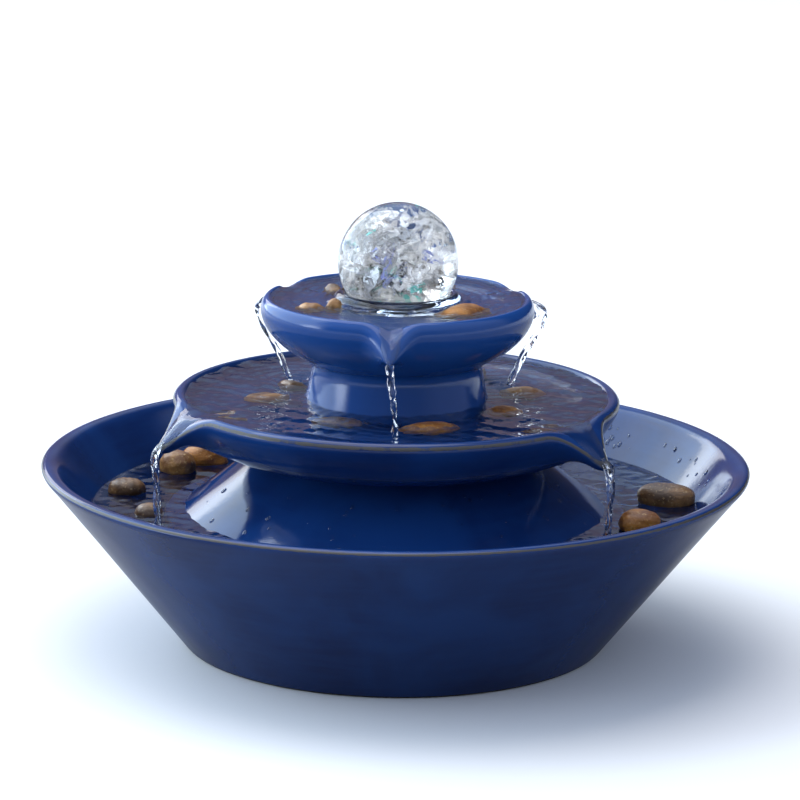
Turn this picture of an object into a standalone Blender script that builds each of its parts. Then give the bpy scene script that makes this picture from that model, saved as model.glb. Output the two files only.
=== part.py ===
"""Tabletop water fountain: glazed basin, pump cover, two pouring trays, glass ball, pebbles and pump.

Metres, +Z up, origin at the middle of the foot that stands on the table. The front faces -Y. An azimuth
is in degrees, 0 at the front and growing towards +X. The water itself is not a part.
"""
import math

import bmesh
import bpy

# ---------------------------------------------------------------- driving dimensions
MM = 0.001
GAP = 0.0004                      # clearance between two pieces that touch
SEGMENTS_BASIN = 64
SEGMENTS_COVER = 72
SEGMENTS_TRAY = 90                # facets of a tray; one of them lies on each lip's middle

BASIN_RIM_RADIUS = 0.150
BASIN_FOOT_RADIUS = 0.0906
BASIN_RIM_HEIGHT = 0.0777
BASIN_WALL_TOP = 0.0755           # where the straight outer wall turns into the lip
BASIN_WALL_ACROSS = 0.0079        # wall measured level, from outside to inside
BASIN_FLOOR = 0.008
BASIN_RECESS = 0.0025             # hollow under the floor, inside the foot ring

COVER_TOP_RADIUS = 0.0595
COVER_TOP = 0.082
COVER_PLATE = 0.006
COVER_RUN_PER_DROP = 1.283        # the cone grows by this much in radius for each unit down
COVER_ACROSS = 0.0088             # cone's wall measured level, from outside to inside
COVER_SKIRT_RADIUS = 0.0980       # upright skirt below the cone
COVER_SKIRT_WALL = 0.0070
COVER_EDGE = 0.0198               # lowest edge, standing on the basin's wall
COVER_NOTCHES = tuple(30.0 + 60.0 * step for step in range(6))
COVER_NOTCH_HALF = 14.0           # degrees each side of a notch's middle
COVER_NOTCH_RISE = 0.0180

MIDDLE_FLOOR = 0.094
MIDDLE_FOOT = COVER_TOP + GAP
MIDDLE_LIPS = (-66.3, 53.7, 173.7)

UPPER_FLOOR = 0.136
UPPER_FOOT = MIDDLE_FLOOR + GAP
UPPER_LIPS = (-2.4, 117.6, -122.4)

LIP_HALF = 14.0                   # degrees from a lip's middle to where the rim is plain again
LIP_POWER = 2.2                   # how sharply a lip narrows to its tip

# Closed outlines (radius, height) of the trays, away from the lips and in the middle of a lip. They run
# from the bore's bottom up, out along the floor, over the rim, and back below to the foot.
MIDDLE_PLAIN = (
    (0.0094, 0.0880), (0.0094, MIDDLE_FLOOR), (0.0700, MIDDLE_FLOOR), (0.0830, 0.0976),
    (0.0878, 0.1030), (0.0895, 0.1062), (0.0912, 0.1070), (0.0931, 0.1064), (0.0943, 0.1050),
    (0.0939, 0.1020), (0.0860, 0.0910), (0.0740, 0.0845), (0.0620, MIDDLE_FOOT),
    (0.0540, MIDDLE_FOOT), (0.0510, 0.0880),
)
MIDDLE_POURING = (
    (0.0094, 0.0880), (0.0094, MIDDLE_FLOOR), (0.0680, MIDDLE_FLOOR), (0.0800, 0.0985),
    (0.0862, 0.1028), (0.0920, 0.1034), (0.0976, 0.1004), (0.1034, 0.0950), (0.1073, 0.0905),
    (0.1040, 0.0893), (0.0930, 0.0925), (0.0780, 0.0862), (0.0620, MIDDLE_FOOT),
    (0.0540, MIDDLE_FOOT), (0.0510, 0.0880),
)
UPPER_PLAIN = (
    (0.0100, 0.1300), (0.0100, UPPER_FLOOR), (0.0450, UPPER_FLOOR), (0.0512, 0.1400),
    (0.0530, 0.1466), (0.0545, 0.1484), (0.0563, 0.1474), (0.0577, 0.1436), (0.0549, 0.1350),
    (0.0480, 0.1278), (0.0400, 0.1228), (0.0360, 0.1200), (0.0385, 0.1050),
    (0.0415, UPPER_FOOT), (0.0365, UPPER_FOOT), (0.0310, 0.1200), (0.0290, 0.1300),
)
UPPER_POURING = (
    (0.0100, 0.1300), (0.0100, UPPER_FLOOR), (0.0430, UPPER_FLOOR), (0.0475, 0.1395),
    (0.0525, 0.1440), (0.0565, 0.1444), (0.0620, 0.1405), (0.0672, 0.1340), (0.0636, 0.1324),
    (0.0545, 0.1308), (0.0412, 0.1232), (0.0360, 0.1200), (0.0385, 0.1050),
    (0.0415, UPPER_FOOT), (0.0365, UPPER_FOOT), (0.0310, 0.1200), (0.0290, 0.1300),
)

BALL_RADIUS = 0.0254
BALL_CENTRE = 0.163
SEAT_RADIUS = 0.0236
SEAT_TOP = 0.1502

TUBE_RADIUS = 0.00635
TUBE_BORE = 0.00475
TUBE_BOTTOM = 0.0465
TUBE_TOP = 0.1348
TUBE_PASSAGE = TUBE_RADIUS + GAP  # bore that slides over the tube

PUMP_AXIS_HEIGHT = 0.030          # the rotor turns about a line along Y at this height, above x = 0
PUMP_HALF_WIDTH = 0.021
PUMP_BOTTOM = 0.014
PUMP_TOP = 0.046
VOLUTE_FRONT = -0.009
VOLUTE_BACK = 0.008
HOUSING_FRONT = 0.0084
HOUSING_BACK = 0.046
CHAMBER_RADIUS = 0.0135
WELL_BORE = 0.0086
WELL_RADIUS = 0.0104
SHAFT_RADIUS = 0.001
DIAL_PORT_RADIUS = 0.005          # circle that the throttle ports lie on

# Pebbles: name, azimuth, distance from the axis, turn in degrees, length, width, height and how far the
# underside lies above the floor that the group rests on (all lengths in metres)
CHANNEL_FLOOR = 0.0505            # where stones wedge between the cover and the basin's wall
UPPER_PEBBLES = (
    ("pebble_upper_1", -65.5, 0.0405, 75.0, 0.0120, 0.0090, 0.0125, 0.0),
    ("pebble_upper_2", -59.5, 0.0306, 60.0, 0.0080, 0.0070, 0.0140, 0.0),
    ("pebble_upper_3", 50.0, 0.0345, -18.0, 0.0250, 0.0130, 0.0130, 0.0),
    ("pebble_upper_4", -126.0, 0.0345, 60.0, 0.0130, 0.0090, 0.0130, 0.0),
    ("pebble_upper_5", 150.0, 0.0370, 60.0, 0.0160, 0.0110, 0.0120, 0.0),
)
MIDDLE_PEBBLES = (
    ("pebble_middle_1", -87.7, 0.0550, 96.0, 0.0200, 0.0130, 0.0120, 0.0),
    ("pebble_middle_2", -116.0, 0.0502, 60.0, 0.0150, 0.0100, 0.0125, 0.0),
    ("pebble_middle_3", -29.5, 0.0502, 14.0, 0.0220, 0.0134, 0.0105, 0.0),
    ("pebble_middle_4", 13.9, 0.0550, -2.0, 0.0250, 0.0140, 0.0125, 0.0),
    ("pebble_middle_5", 102.4, 0.0545, -88.0, 0.0200, 0.0140, 0.0125, 0.0),
    ("pebble_middle_6", 62.3, 0.0502, -50.0, 0.0155, 0.0100, 0.0125, 0.0),
    ("pebble_middle_7", 150.0, 0.0590, 40.0, 0.0220, 0.0150, 0.0125, 0.0),
)
BASIN_PEBBLES = (
    ("pebble_basin_1", -98.0, 0.1170, 88.0, 0.0157, 0.0120, 0.0105, 0.0030),
    ("pebble_basin_2", -130.0, 0.1115, 145.0, 0.0220, 0.0132, 0.0125, 0.0025),
    ("pebble_basin_3", -119.4, 0.1109, 104.0, 0.0150, 0.0115, 0.0130, 0.0030),
    ("pebble_basin_4", -80.0, 0.1055, 90.0, 0.0120, 0.0100, 0.0100, 0.0010),
    ("pebble_basin_5", 94.3, 0.1156, -106.0, 0.0260, 0.0133, 0.0115, 0.0040),
    ("pebble_basin_6", 70.0, 0.1078, -60.0, 0.0178, 0.0120, 0.0110, 0.0050),
    ("pebble_basin_7", 150.0, 0.1150, 60.0, 0.0220, 0.0140, 0.0130, 0.0015),
    ("pebble_basin_8", 165.0, 0.1135, -5.0, 0.0200, 0.0140, 0.0120, 0.0),
    ("pebble_basin_9", -160.0, 0.1140, 20.0, 0.0220, 0.0140, 0.0130, 0.0),
)

# Finishes: colour, roughness, metallic
BLUE_GLAZE = ((0.012, 0.035, 0.17), 0.12, 0.0)
CLEAR_GLASS = ((0.85, 0.9, 0.92), 0.03, 0.0)
CLEAR_PLASTIC = ((0.8, 0.85, 0.85), 0.08, 0.0)
BLACK_PLASTIC = ((0.02, 0.02, 0.022), 0.45, 0.0)
BLACK_RUBBER = ((0.015, 0.015, 0.015), 0.75, 0.0)
COPPER_WIRE = ((0.72, 0.34, 0.16), 0.35, 1.0)
CORE_STEEL = ((0.45, 0.45, 0.46), 0.4, 1.0)
FERRITE = ((0.06, 0.06, 0.065), 0.6, 0.0)
WHITE_CERAMIC = ((0.85, 0.84, 0.8), 0.3, 0.0)
ORANGE_STONE = ((0.36, 0.13, 0.03), 0.5, 0.0)
BROWN_STONE = ((0.09, 0.045, 0.025), 0.5, 0.0)


# ---------------------------------------------------------------- helpers
def clear_scene():
    """Remove every object so that the script can run again."""
    for item in list(bpy.data.objects):
        bpy.data.objects.remove(item, do_unlink=True)


def finish_material(name, finish):
    """Make a plain material from a colour, a roughness and a metallic value."""
    colour, roughness, metallic = finish
    material = bpy.data.materials.new(name + "_finish")
    material.use_nodes = True
    shader = material.node_tree.nodes["Principled BSDF"]
    shader.inputs["Base Color"].default_value = (*colour, 1.0)
    shader.inputs["Roughness"].default_value = roughness
    shader.inputs["Metallic"].default_value = metallic
    material.diffuse_color = (*colour, 1.0)
    return material


def add_object(name, shape, finish, sharp=35.0):
    """Turn a bmesh into an object, with its faces outwards, shaded smooth below the sharp angle."""
    bmesh.ops.recalc_face_normals(shape, faces=shape.faces)
    if shape.calc_volume(signed=True) < 0.0:
        bmesh.ops.reverse_faces(shape, faces=shape.faces)
    mesh = bpy.data.meshes.new(name)
    shape.to_mesh(mesh)
    shape.free()
    mesh.shade_smooth()
    mesh.set_sharp_from_angle(angle=math.radians(sharp))
    item = bpy.data.objects.new(name, mesh)
    bpy.context.scene.collection.objects.link(item)
    if finish is not None:
        mesh.materials.append(finish_material(name, finish))
    return item


def place_on_joint(item, point):
    """Put the object's origin at a point on its joint axis, without moving its shape."""
    x, y, z = point
    for vertex in item.data.vertices:
        vertex.co.x -= x
        vertex.co.y -= y
        vertex.co.z -= z
    item.location = point


def hide_cutter(item):
    """Mark an object as a tool that is not part of the model."""
    item.hide_render = True
    item.display_type = "WIRE"


def combine(target, tool, operation):
    """Join a tool shape to the target, or cut it away."""
    hide_cutter(tool)
    modifier = target.modifiers.new(tool.name, "BOOLEAN")
    modifier.operation = operation
    modifier.object = tool
    modifier.solver = "EXACT"


def cut(target, tool):
    """Cut the tool shape away from the target."""
    combine(target, tool, "DIFFERENCE")


def box(name, low, high, finish=None, rounding=0.0):
    """A block between two corners, with its edges rounded if a rounding is given."""
    shape = bmesh.new()
    bmesh.ops.create_cube(shape, size=1.0)
    for vertex in shape.verts:
        for axis in range(3):
            vertex.co[axis] = low[axis] + (vertex.co[axis] + 0.5) * (high[axis] - low[axis])
    if rounding:
        bmesh.ops.bevel(shape, geom=shape.edges, offset=rounding, segments=2, profile=0.5, affect="EDGES")
    return add_object(name, shape, finish)


def turned(name, outline, finish=None, axis="Z", centre=(0.0, 0.0, 0.0), segments=32):
    """Turn a closed (radius, along) outline about an axis through the centre.

    An outline whose first and last points lie on the axis makes a solid without a bore.
    """
    return shaped_ring(name, lambda azimuth: outline, finish, segments, axis, centre)


def shaped_ring(name, outline_at, finish, segments, axis="Z", centre=(0.0, 0.0, 0.0), start=0.0):
    """Turn an outline that changes with the azimuth; outline_at gives it for each azimuth."""
    shape = bmesh.new()
    first = outline_at(0.0)
    solid = first[0][0] == 0.0 and first[-1][0] == 0.0
    poles = {}
    rows = []
    for step in range(segments):
        azimuth = start + 360.0 * step / segments
        turn = math.radians(azimuth)
        row = []
        for index, (radius, along) in enumerate(outline_at(azimuth)):
            if radius == 0.0 and index in poles:
                row.append(poles[index])
                continue
            across = (radius * math.sin(turn), -radius * math.cos(turn))
            spot = (across[0], across[1], along) if axis == "Z" else (across[0], along, across[1])
            vertex = shape.verts.new([spot[k] + centre[k] for k in range(3)])
            if radius == 0.0:
                poles[index] = vertex
            row.append(vertex)
        rows.append(row)
    last = len(first) - 1 if solid else len(first)
    for step in range(segments):
        here, there = rows[step], rows[(step + 1) % segments]
        for index in range(last):
            after = (index + 1) % len(first)
            corners = [here[index], here[after], there[after], there[index]]
            shape.faces.new(list(dict.fromkeys(corners)))
    return add_object(name, shape, finish)


def rod(name, radius, low, high, finish=None, axis="Z", centre=(0.0, 0.0, 0.0), segments=24):
    """A plain round bar from low to high along an axis."""
    outline = [(0.0, low), (radius, low), (radius, high), (0.0, high)]
    return turned(name, outline, finish, axis, centre, segments)


def tube(name, bore, radius, low, high, finish=None, axis="Z", centre=(0.0, 0.0, 0.0), segments=24):
    """A plain round tube from low to high along an axis."""
    outline = [(bore, low), (radius, low), (radius, high), (bore, high)]
    return turned(name, outline, finish, axis, centre, segments)


def bump(azimuth, middles, half, power):
    """1 at each middle, falling to 0 at the half width each side, with a slightly blunt top."""
    away = min(abs((azimuth - middle + 180.0) % 360.0 - 180.0) for middle in middles)
    blunt = 0.08
    share = (math.hypot(away / half, blunt) - blunt) / (math.hypot(1.0, blunt) - blunt)
    return max(0.0, 1.0 - share) ** power


def blended(plain, changed, weight):
    """Move each point of an outline by the weight towards the same point of another outline."""
    return [(r0 + (r1 - r0) * weight, z0 + (z1 - z0) * weight)
            for (r0, z0), (r1, z1) in zip(plain, changed)]


def at_azimuth(azimuth, radius):
    """The (x, y) place at an azimuth and a distance from the axis."""
    turn = math.radians(azimuth)
    return radius * math.sin(turn), -radius * math.cos(turn)


# ---------------------------------------------------------------- ceramic pieces
def make_basin():
    """Wide bowl on a narrow foot, with straight flaring sides and a rolled rim."""
    rise = (BASIN_RIM_RADIUS - BASIN_FOOT_RADIUS) / BASIN_WALL_TOP
    inside = BASIN_FOOT_RADIUS - BASIN_WALL_ACROSS

    def wall_inside(height):
        return inside + rise * height

    outline = [
        (0.0, BASIN_RECESS),
        (BASIN_FOOT_RADIUS - 0.0165, BASIN_RECESS),
        (BASIN_FOOT_RADIUS - 0.0140, 0.0),
        (BASIN_FOOT_RADIUS - 0.0008, 0.0),
        (BASIN_FOOT_RADIUS + 0.0004, 0.0010),
        (BASIN_RIM_RADIUS, BASIN_WALL_TOP),
        (BASIN_RIM_RADIUS - 0.0006, BASIN_RIM_HEIGHT - 0.0009),
        (BASIN_RIM_RADIUS - 0.0030, BASIN_RIM_HEIGHT),
        (BASIN_RIM_RADIUS - 0.0060, BASIN_RIM_HEIGHT - 0.0008),
        (wall_inside(0.0725), 0.0725),
        (wall_inside(0.0150), 0.0150),
        (wall_inside(BASIN_FLOOR) - 0.0030, BASIN_FLOOR + 0.0012),
        (wall_inside(BASIN_FLOOR) - 0.0080, BASIN_FLOOR),
        (0.0, BASIN_FLOOR),
    ]
    return turned("basin", outline, BLUE_GLAZE, segments=SEGMENTS_BASIN)


def make_pump_cover():
    """Cone on an upright skirt that hides the pump; water returns through the arches in the skirt."""
    inner = COVER_SKIRT_RADIUS - COVER_SKIRT_WALL
    shoulder = COVER_TOP - 0.0010 - (COVER_SKIRT_RADIUS - 0.0010 - COVER_TOP_RADIUS) / COVER_RUN_PER_DROP
    inside = COVER_TOP_RADIUS - COVER_ACROSS
    below = COVER_TOP - COVER_PLATE

    def outline(edge):
        return [
            (0.0140, below),
            (0.0140, COVER_TOP),
            (COVER_TOP_RADIUS - 0.0025, COVER_TOP),
            (COVER_TOP_RADIUS, COVER_TOP - 0.0010),
            (COVER_SKIRT_RADIUS - 0.0010, shoulder),
            (COVER_SKIRT_RADIUS, shoulder - 0.0016),
            (COVER_SKIRT_RADIUS, edge + 0.0010),
            (COVER_SKIRT_RADIUS - 0.0006, edge),
            (inner + 0.0008, edge),
            (inner, edge + 0.0010),
            (inner, shoulder - 0.0060),
            (inner - 0.0024, shoulder - 0.0010),
            (inside + 0.0070, below - 0.0010),
            (inside + 0.0030, below),
        ]

    plain = outline(COVER_EDGE)
    raised = outline(COVER_EDGE + COVER_NOTCH_RISE)

    def outline_at(azimuth):
        arch = bump(azimuth, COVER_NOTCHES, COVER_NOTCH_HALF, 0.5)
        return blended(plain, raised, arch)

    return shaped_ring("pump_cover", outline_at, BLUE_GLAZE, SEGMENTS_COVER, start=COVER_NOTCHES[0])


def make_middle_tray():
    """Wide dish on a foot ring, with three drooping lips that pour into the basin."""
    def outline_at(azimuth):
        return blended(MIDDLE_PLAIN, MIDDLE_POURING, bump(azimuth, MIDDLE_LIPS, LIP_HALF, LIP_POWER))

    return shaped_ring("middle_tray", outline_at, BLUE_GLAZE, SEGMENTS_TRAY, start=MIDDLE_LIPS[0])


def make_upper_tray():
    """Small dish on a waisted hollow foot, with three drooping lips that pour into the middle tray."""
    def outline_at(azimuth):
        return blended(UPPER_PLAIN, UPPER_POURING, bump(azimuth, UPPER_LIPS, LIP_HALF, LIP_POWER))

    return shaped_ring("upper_tray", outline_at, BLUE_GLAZE, SEGMENTS_TRAY, start=UPPER_LIPS[0])


# ---------------------------------------------------------------- ball, seat, tube, grommet
def sphere_height(radius, clearance):
    """Height of the ball's underside, moved out by a clearance, at a distance from the axis."""
    return BALL_CENTRE - math.sqrt((BALL_RADIUS + clearance) ** 2 - radius ** 2)


def make_ball_seat():
    """Clear cup that the ball floats in, with a spigot that seals the tray's hole and takes the tube."""
    cup_bore = 0.0046
    lip = math.sqrt((BALL_RADIUS + GAP) ** 2 - (BALL_CENTRE - SEAT_TOP) ** 2)
    base = UPPER_FLOOR + GAP
    steps = 4
    cup = [cup_bore + (lip - cup_bore) * step / steps for step in range(steps + 1)]
    outline = [(radius, sphere_height(radius, GAP)) for radius in cup]
    outline += [
        (SEAT_RADIUS, SEAT_TOP), (SEAT_RADIUS, base), (0.0096, base), (0.0096, 0.1260),
        (TUBE_PASSAGE, 0.1260), (TUBE_PASSAGE, TUBE_TOP + GAP), (cup_bore, TUBE_TOP + GAP),
    ]
    return turned("ball_seat", outline, CLEAR_PLASTIC, segments=32)


def make_glass_ball():
    """Solid glass ball that the rising water turns in its cup."""
    shape = bmesh.new()
    bmesh.ops.create_uvsphere(shape, u_segments=28, v_segments=14, radius=BALL_RADIUS)
    ball = add_object("glass_ball", shape, CLEAR_GLASS)
    ball.location = (0.0, 0.0, BALL_CENTRE)
    return ball


def make_riser_tube():
    """Clear hose from the pump's nozzle up to the ball's seat."""
    return tube("riser_tube", TUBE_BORE, TUBE_RADIUS, TUBE_BOTTOM, TUBE_TOP, CLEAR_PLASTIC)


def make_tube_grommet():
    """Rubber grommet that seals the middle tray's hole round the tube."""
    outline = [
        (TUBE_PASSAGE, 0.0855), (0.0090, 0.0855), (0.0090, MIDDLE_FLOOR + GAP),
        (0.0120, MIDDLE_FLOOR + GAP), (0.0115, 0.0962), (TUBE_PASSAGE, 0.0962),
    ]
    return turned("tube_grommet", outline, BLACK_RUBBER, segments=24)


# ---------------------------------------------------------------- pump
def pump_centre(x=0.0, z=0.0):
    """Centre for pieces turned about a line along Y, moved from the rotor's axis by x and z."""
    return (x, 0.0, PUMP_AXIS_HEIGHT + z)


def make_volute_cover():
    """Front half of the pump: impeller chamber, inlet ports, bush pocket and hose nozzle."""
    cover = box("volute_cover", (-PUMP_HALF_WIDTH, VOLUTE_FRONT, PUMP_BOTTOM),
                (PUMP_HALF_WIDTH, VOLUTE_BACK, PUMP_TOP), BLACK_PLASTIC, 0.0012)
    nozzle = rod("nozzle_tool", 0.0043, 0.0445, 0.058)
    combine(cover, nozzle, "UNION")
    cut(cover, rod("chamber_tool", CHAMBER_RADIUS, -0.005, 0.0200, axis="Y", centre=pump_centre(),
                   segments=28))
    cut(cover, rod("nozzle_bore_tool", 0.0030, 0.0400, 0.0600, segments=20))
    cut(cover, rod("front_pocket_tool", 0.0026, -0.0070, -0.0020, axis="Y", centre=pump_centre()))
    for step in range(6):
        turn = math.radians(30.0 + 60.0 * step)
        spot = pump_centre(0.0060 * math.sin(turn), 0.0060 * math.cos(turn))
        cut(cover, rod(f"inlet_tool_{step}", 0.0019, -0.0200, 0.0, axis="Y", centre=spot, segments=12))
    for side, x in (("left", -0.015), ("right", 0.015)):
        cut(cover, rod(f"cup_hole_tool_front_{side}", 0.0022, 0.0100, 0.0161, centre=(x, 0.0, 0.0),
                       segments=16))
    return cover


def make_pump_housing():
    """Rear half of the pump: rotor well in front, winding room open at the back, seal groove."""
    housing = box("pump_housing", (-PUMP_HALF_WIDTH, HOUSING_FRONT, PUMP_BOTTOM),
                  (PUMP_HALF_WIDTH, HOUSING_BACK, PUMP_TOP), BLACK_PLASTIC, 0.0012)
    cut(housing, box("winding_room_tool", (-0.0190, 0.0120, 0.0165), (0.0190, 0.0600, 0.0435)))
    combine(housing, rod("well_tool", WELL_RADIUS, 0.0110, 0.0290, axis="Y", centre=pump_centre(),
                         segments=28), "UNION")
    cut(housing, rod("well_bore_tool", WELL_BORE, 0.0, 0.0240, axis="Y", centre=pump_centre(),
                     segments=28))
    cut(housing, rod("rear_pocket_tool", 0.0026, 0.0230, 0.0268, axis="Y", centre=pump_centre()))
    cut(housing, tube("groove_tool", 0.0140, 0.0164, 0.0050, 0.0104, axis="Y", centre=pump_centre(),
                      segments=28))
    for side, x in (("left", -0.015), ("right", 0.015)):
        cut(housing, rod(f"cup_hole_tool_rear_{side}", 0.0022, 0.0100, 0.0161,
                         centre=(x, 0.038, 0.0), segments=16))
    return housing


def make_seal_ring():
    """Rubber ring in the groove between the two halves of the pump."""
    points = 8
    outline = []
    for step in range(points):
        turn = 2.0 * math.pi * step / points
        outline.append((0.0152 + 0.00075 * math.cos(turn), 0.0093 + 0.00075 * math.sin(turn)))
    return turned("seal_ring", outline, BLACK_RUBBER, axis="Y", centre=pump_centre(), segments=28)


def make_rotor():
    """Magnet, impeller, fixed shaft and its two bushes, all on the rotor's axis."""
    centre = pump_centre()
    joint = (0.0, 0.0, PUMP_AXIS_HEIGHT)
    magnet = tube("rotor_magnet", 0.0014, 0.0080, 0.0100, 0.0234, FERRITE, "Y", centre, 32)
    impeller = turned("impeller", [
        (0.0014, -0.0036), (0.0032, -0.0036), (0.0036, 0.0052), (0.0118, 0.0056), (0.0118, 0.0070),
        (0.0040, 0.0070), (0.0036, 0.0097), (0.0014, 0.0097),
    ], WHITE_CERAMIC, "Y", centre, 32)
    blades = 6
    for step in range(blades):
        blade = box(f"blade_tool_{step}", (0.0026, -0.0030, -0.0006), (0.0116, 0.0062, 0.0006))
        blade.rotation_euler = (0.0, 2.0 * math.pi * step / blades, 0.0)
        blade.location = joint
        combine(impeller, blade, "UNION")
    shaft = rod("rotor_shaft", SHAFT_RADIUS, -0.0064, 0.0262, WHITE_CERAMIC, "Y", centre, 20)
    front = tube("front_shaft_bush", 0.0013, 0.0023, -0.0067, -0.0042, BLACK_RUBBER, "Y", centre, 20)
    rear = tube("rear_shaft_bush", 0.0013, 0.0023, 0.0242, 0.0265, BLACK_RUBBER, "Y", centre, 20)
    place_on_joint(magnet, joint)
    place_on_joint(impeller, joint)
    return magnet, impeller, shaft, front, rear


def make_stator():
    """U-shaped laminated core astride the rotor well, with a wound bobbin on its yoke."""
    low, high = PUMP_AXIS_HEIGHT - 0.006, PUMP_AXIS_HEIGHT + 0.006
    core = box("stator_core", (-0.0170, 0.0130, low), (0.0170, 0.0400, high), CORE_STEEL)
    cut(core, box("core_slot_tool", (-0.0110, 0.0, low - 0.01), (0.0110, 0.0340, high + 0.01)))
    bobbin = box("coil_bobbin", (-0.0100, 0.0302, low - 0.0045), (0.0100, 0.0438, high + 0.0045),
                 WHITE_CERAMIC)
    cut(bobbin, box("yoke_hole_tool", (-0.02, 0.0336, low - GAP), (0.02, 0.0404, high + GAP)))
    winding_groove = box("winding_groove_tool", (-0.0090, 0.02, low - 0.02),
                         (0.0090, 0.06, high + 0.02))
    cut(winding_groove, box("bobbin_tube_tool", (-0.02, 0.0324, low - 0.0015),
                            (0.02, 0.0416, high + 0.0015)))
    cut(bobbin, winding_groove)
    winding = box("coil_winding", (-0.0086, 0.0306, low - 0.0040), (0.0086, 0.0434, high + 0.0040),
                  COPPER_WIRE, 0.0010)
    cut(winding, box("winding_hole_tool", (-0.02, 0.0320, low - 0.0019), (0.02, 0.0420, high + 0.0019)))
    return core, bobbin, winding


def make_back_plate():
    """Plate that closes the winding room, with the hole for the cable gland."""
    plate = box("back_plate", (-0.0186, 0.0444, 0.0169), (0.0186, 0.0470, 0.0431), BLACK_PLASTIC)
    cut(plate, rod("gland_hole_tool", 0.0031, 0.04, 0.06, axis="Y", centre=(0.012, 0.0, 0.022),
                   segments=20))
    gland = turned("cable_gland", [
        (0.0016, 0.0446), (0.0027, 0.0446), (0.0027, 0.0474), (0.0042, 0.0474), (0.0042, 0.0486),
        (0.0030, 0.0492), (0.0026, 0.0520), (0.0016, 0.0520),
    ], BLACK_RUBBER, "Y", (0.012, 0.0, 0.022), 20)
    return plate, gland


def make_intake_grille():
    """Slotted strainer clipped over the pump's inlet, with four throttle ports in its middle."""
    grille = box("intake_grille", (-0.0205, -0.0172, 0.0145), (0.0205, -0.0094, 0.0455),
                 BLACK_PLASTIC, 0.0015)
    cut(grille, box("grille_room_tool", (-0.0185, -0.0152, 0.0165), (0.0185, 0.0, 0.0435)))
    for side in (-1.0, 1.0):
        for step in range(3):
            x = side * (0.0108 + 0.0028 * step)
            cut(grille, box(f"slot_tool_{side:.0f}_{step}", (x - 0.0007, -0.03, 0.0190),
                            (x + 0.0007, -0.0140, 0.0410)))
    cut(grille, rod("dial_hole_tool", 0.0016, -0.03, -0.0140, axis="Y", centre=pump_centre(), segments=16))
    for step in range(4):
        turn = math.radians(45.0 + 90.0 * step)
        spot = pump_centre(DIAL_PORT_RADIUS * math.sin(turn), DIAL_PORT_RADIUS * math.cos(turn))
        cut(grille, rod(f"port_tool_{step}", 0.0016, -0.03, -0.0140, axis="Y", centre=spot, segments=12))
    return grille


def make_flow_dial():
    """Round dial on the strainer; turning it 45 degrees closes the four throttle ports."""
    outline = [
        (0.0, -0.0196), (0.0078, -0.0196), (0.0082, -0.0192), (0.0082, -0.0176), (0.0012, -0.0176),
        (0.0012, -0.0142), (0.0, -0.0142),
    ]
    dial = turned("flow_dial", outline, BLACK_PLASTIC, "Y", pump_centre(), 32)
    place_on_joint(dial, (0.0, 0.0, PUMP_AXIS_HEIGHT))
    combine(dial, box("dial_rib_tool", (-0.0009, -0.0212, PUMP_AXIS_HEIGHT - 0.0070),
                      (0.0009, -0.0190, PUMP_AXIS_HEIGHT + 0.0070)), "UNION")
    for step in range(4):
        turn = math.radians(45.0 + 90.0 * step)
        spot = pump_centre(DIAL_PORT_RADIUS * math.sin(turn), DIAL_PORT_RADIUS * math.cos(turn))
        cut(dial, rod(f"dial_port_tool_{step}", 0.0016, -0.03, -0.0165, axis="Y", centre=spot,
                      segments=12))
    return dial


def make_suction_cups():
    """Four rubber cups that hold the pump to the basin's floor."""
    floor = BASIN_FLOOR + GAP
    outline = [
        (0.0, floor + 0.0010), (0.0048, floor), (0.0060, floor), (0.0050, floor + 0.0010),
        (0.0024, 0.0116), (0.0030, 0.0136), (0.0018, 0.0136), (0.0018, 0.0157), (0.0, 0.0157),
    ]
    cups = []
    for index, (x, y) in enumerate(((-0.015, 0.0), (0.015, 0.0), (-0.015, 0.038), (0.015, 0.038))):
        cups.append(turned(f"suction_cup_{index + 1}", outline, BLACK_RUBBER, centre=(x, y, 0.0),
                           segments=16))
    return cups


# ---------------------------------------------------------------- pebbles
def make_pebble(name, place, turn, size, finish, phase):
    """A rounded stone: a ball pressed flat, with a slow lumpiness that the phase changes."""
    shape = bmesh.new()
    bmesh.ops.create_uvsphere(shape, u_segments=12, v_segments=6, radius=0.5)
    length, width, height = size
    cosine, sine = math.cos(math.radians(turn)), math.sin(math.radians(turn))
    for vertex in shape.verts:
        x, y, z = vertex.co
        lump = 1.0 + 0.10 * math.sin(3.0 * x + phase) * math.cos(2.5 * y - phase)
        taper = 1.0 - 0.22 * x * math.cos(phase)
        along, across = x * length * lump, y * width * taper * lump
        vertex.co.x = along * cosine - across * sine
        vertex.co.y = along * sine + across * cosine
        vertex.co.z = z * height
    stone = add_object(name, shape, finish)
    stone.location = place
    return stone


def make_pebbles():
    """Stones in the upper tray, the middle tray and the channel round the cover."""
    groups = (
        (UPPER_PEBBLES, UPPER_FLOOR + GAP, (0, 0, 0, 1, 0)),
        (MIDDLE_PEBBLES, MIDDLE_FLOOR + GAP, (0, 1, 1, 0, 0, 0, 1)),
        (BASIN_PEBBLES, CHANNEL_FLOOR, (1, 0, 0, 1, 1, 0, 0, 1, 0)),
    )
    stones = []
    for pebbles, floor, browns in groups:
        for (name, azimuth, radius, turn, length, width, height, perch), brown in zip(pebbles, browns):
            x, y = at_azimuth(azimuth, radius)
            place = (x, y, floor + perch + height / 2.0)
            finish = BROWN_STONE if brown else ORANGE_STONE
            stones.append(make_pebble(name, place, azimuth + turn, (length, width, height), finish,
                                      0.9 * len(stones)))
    return stones


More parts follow.
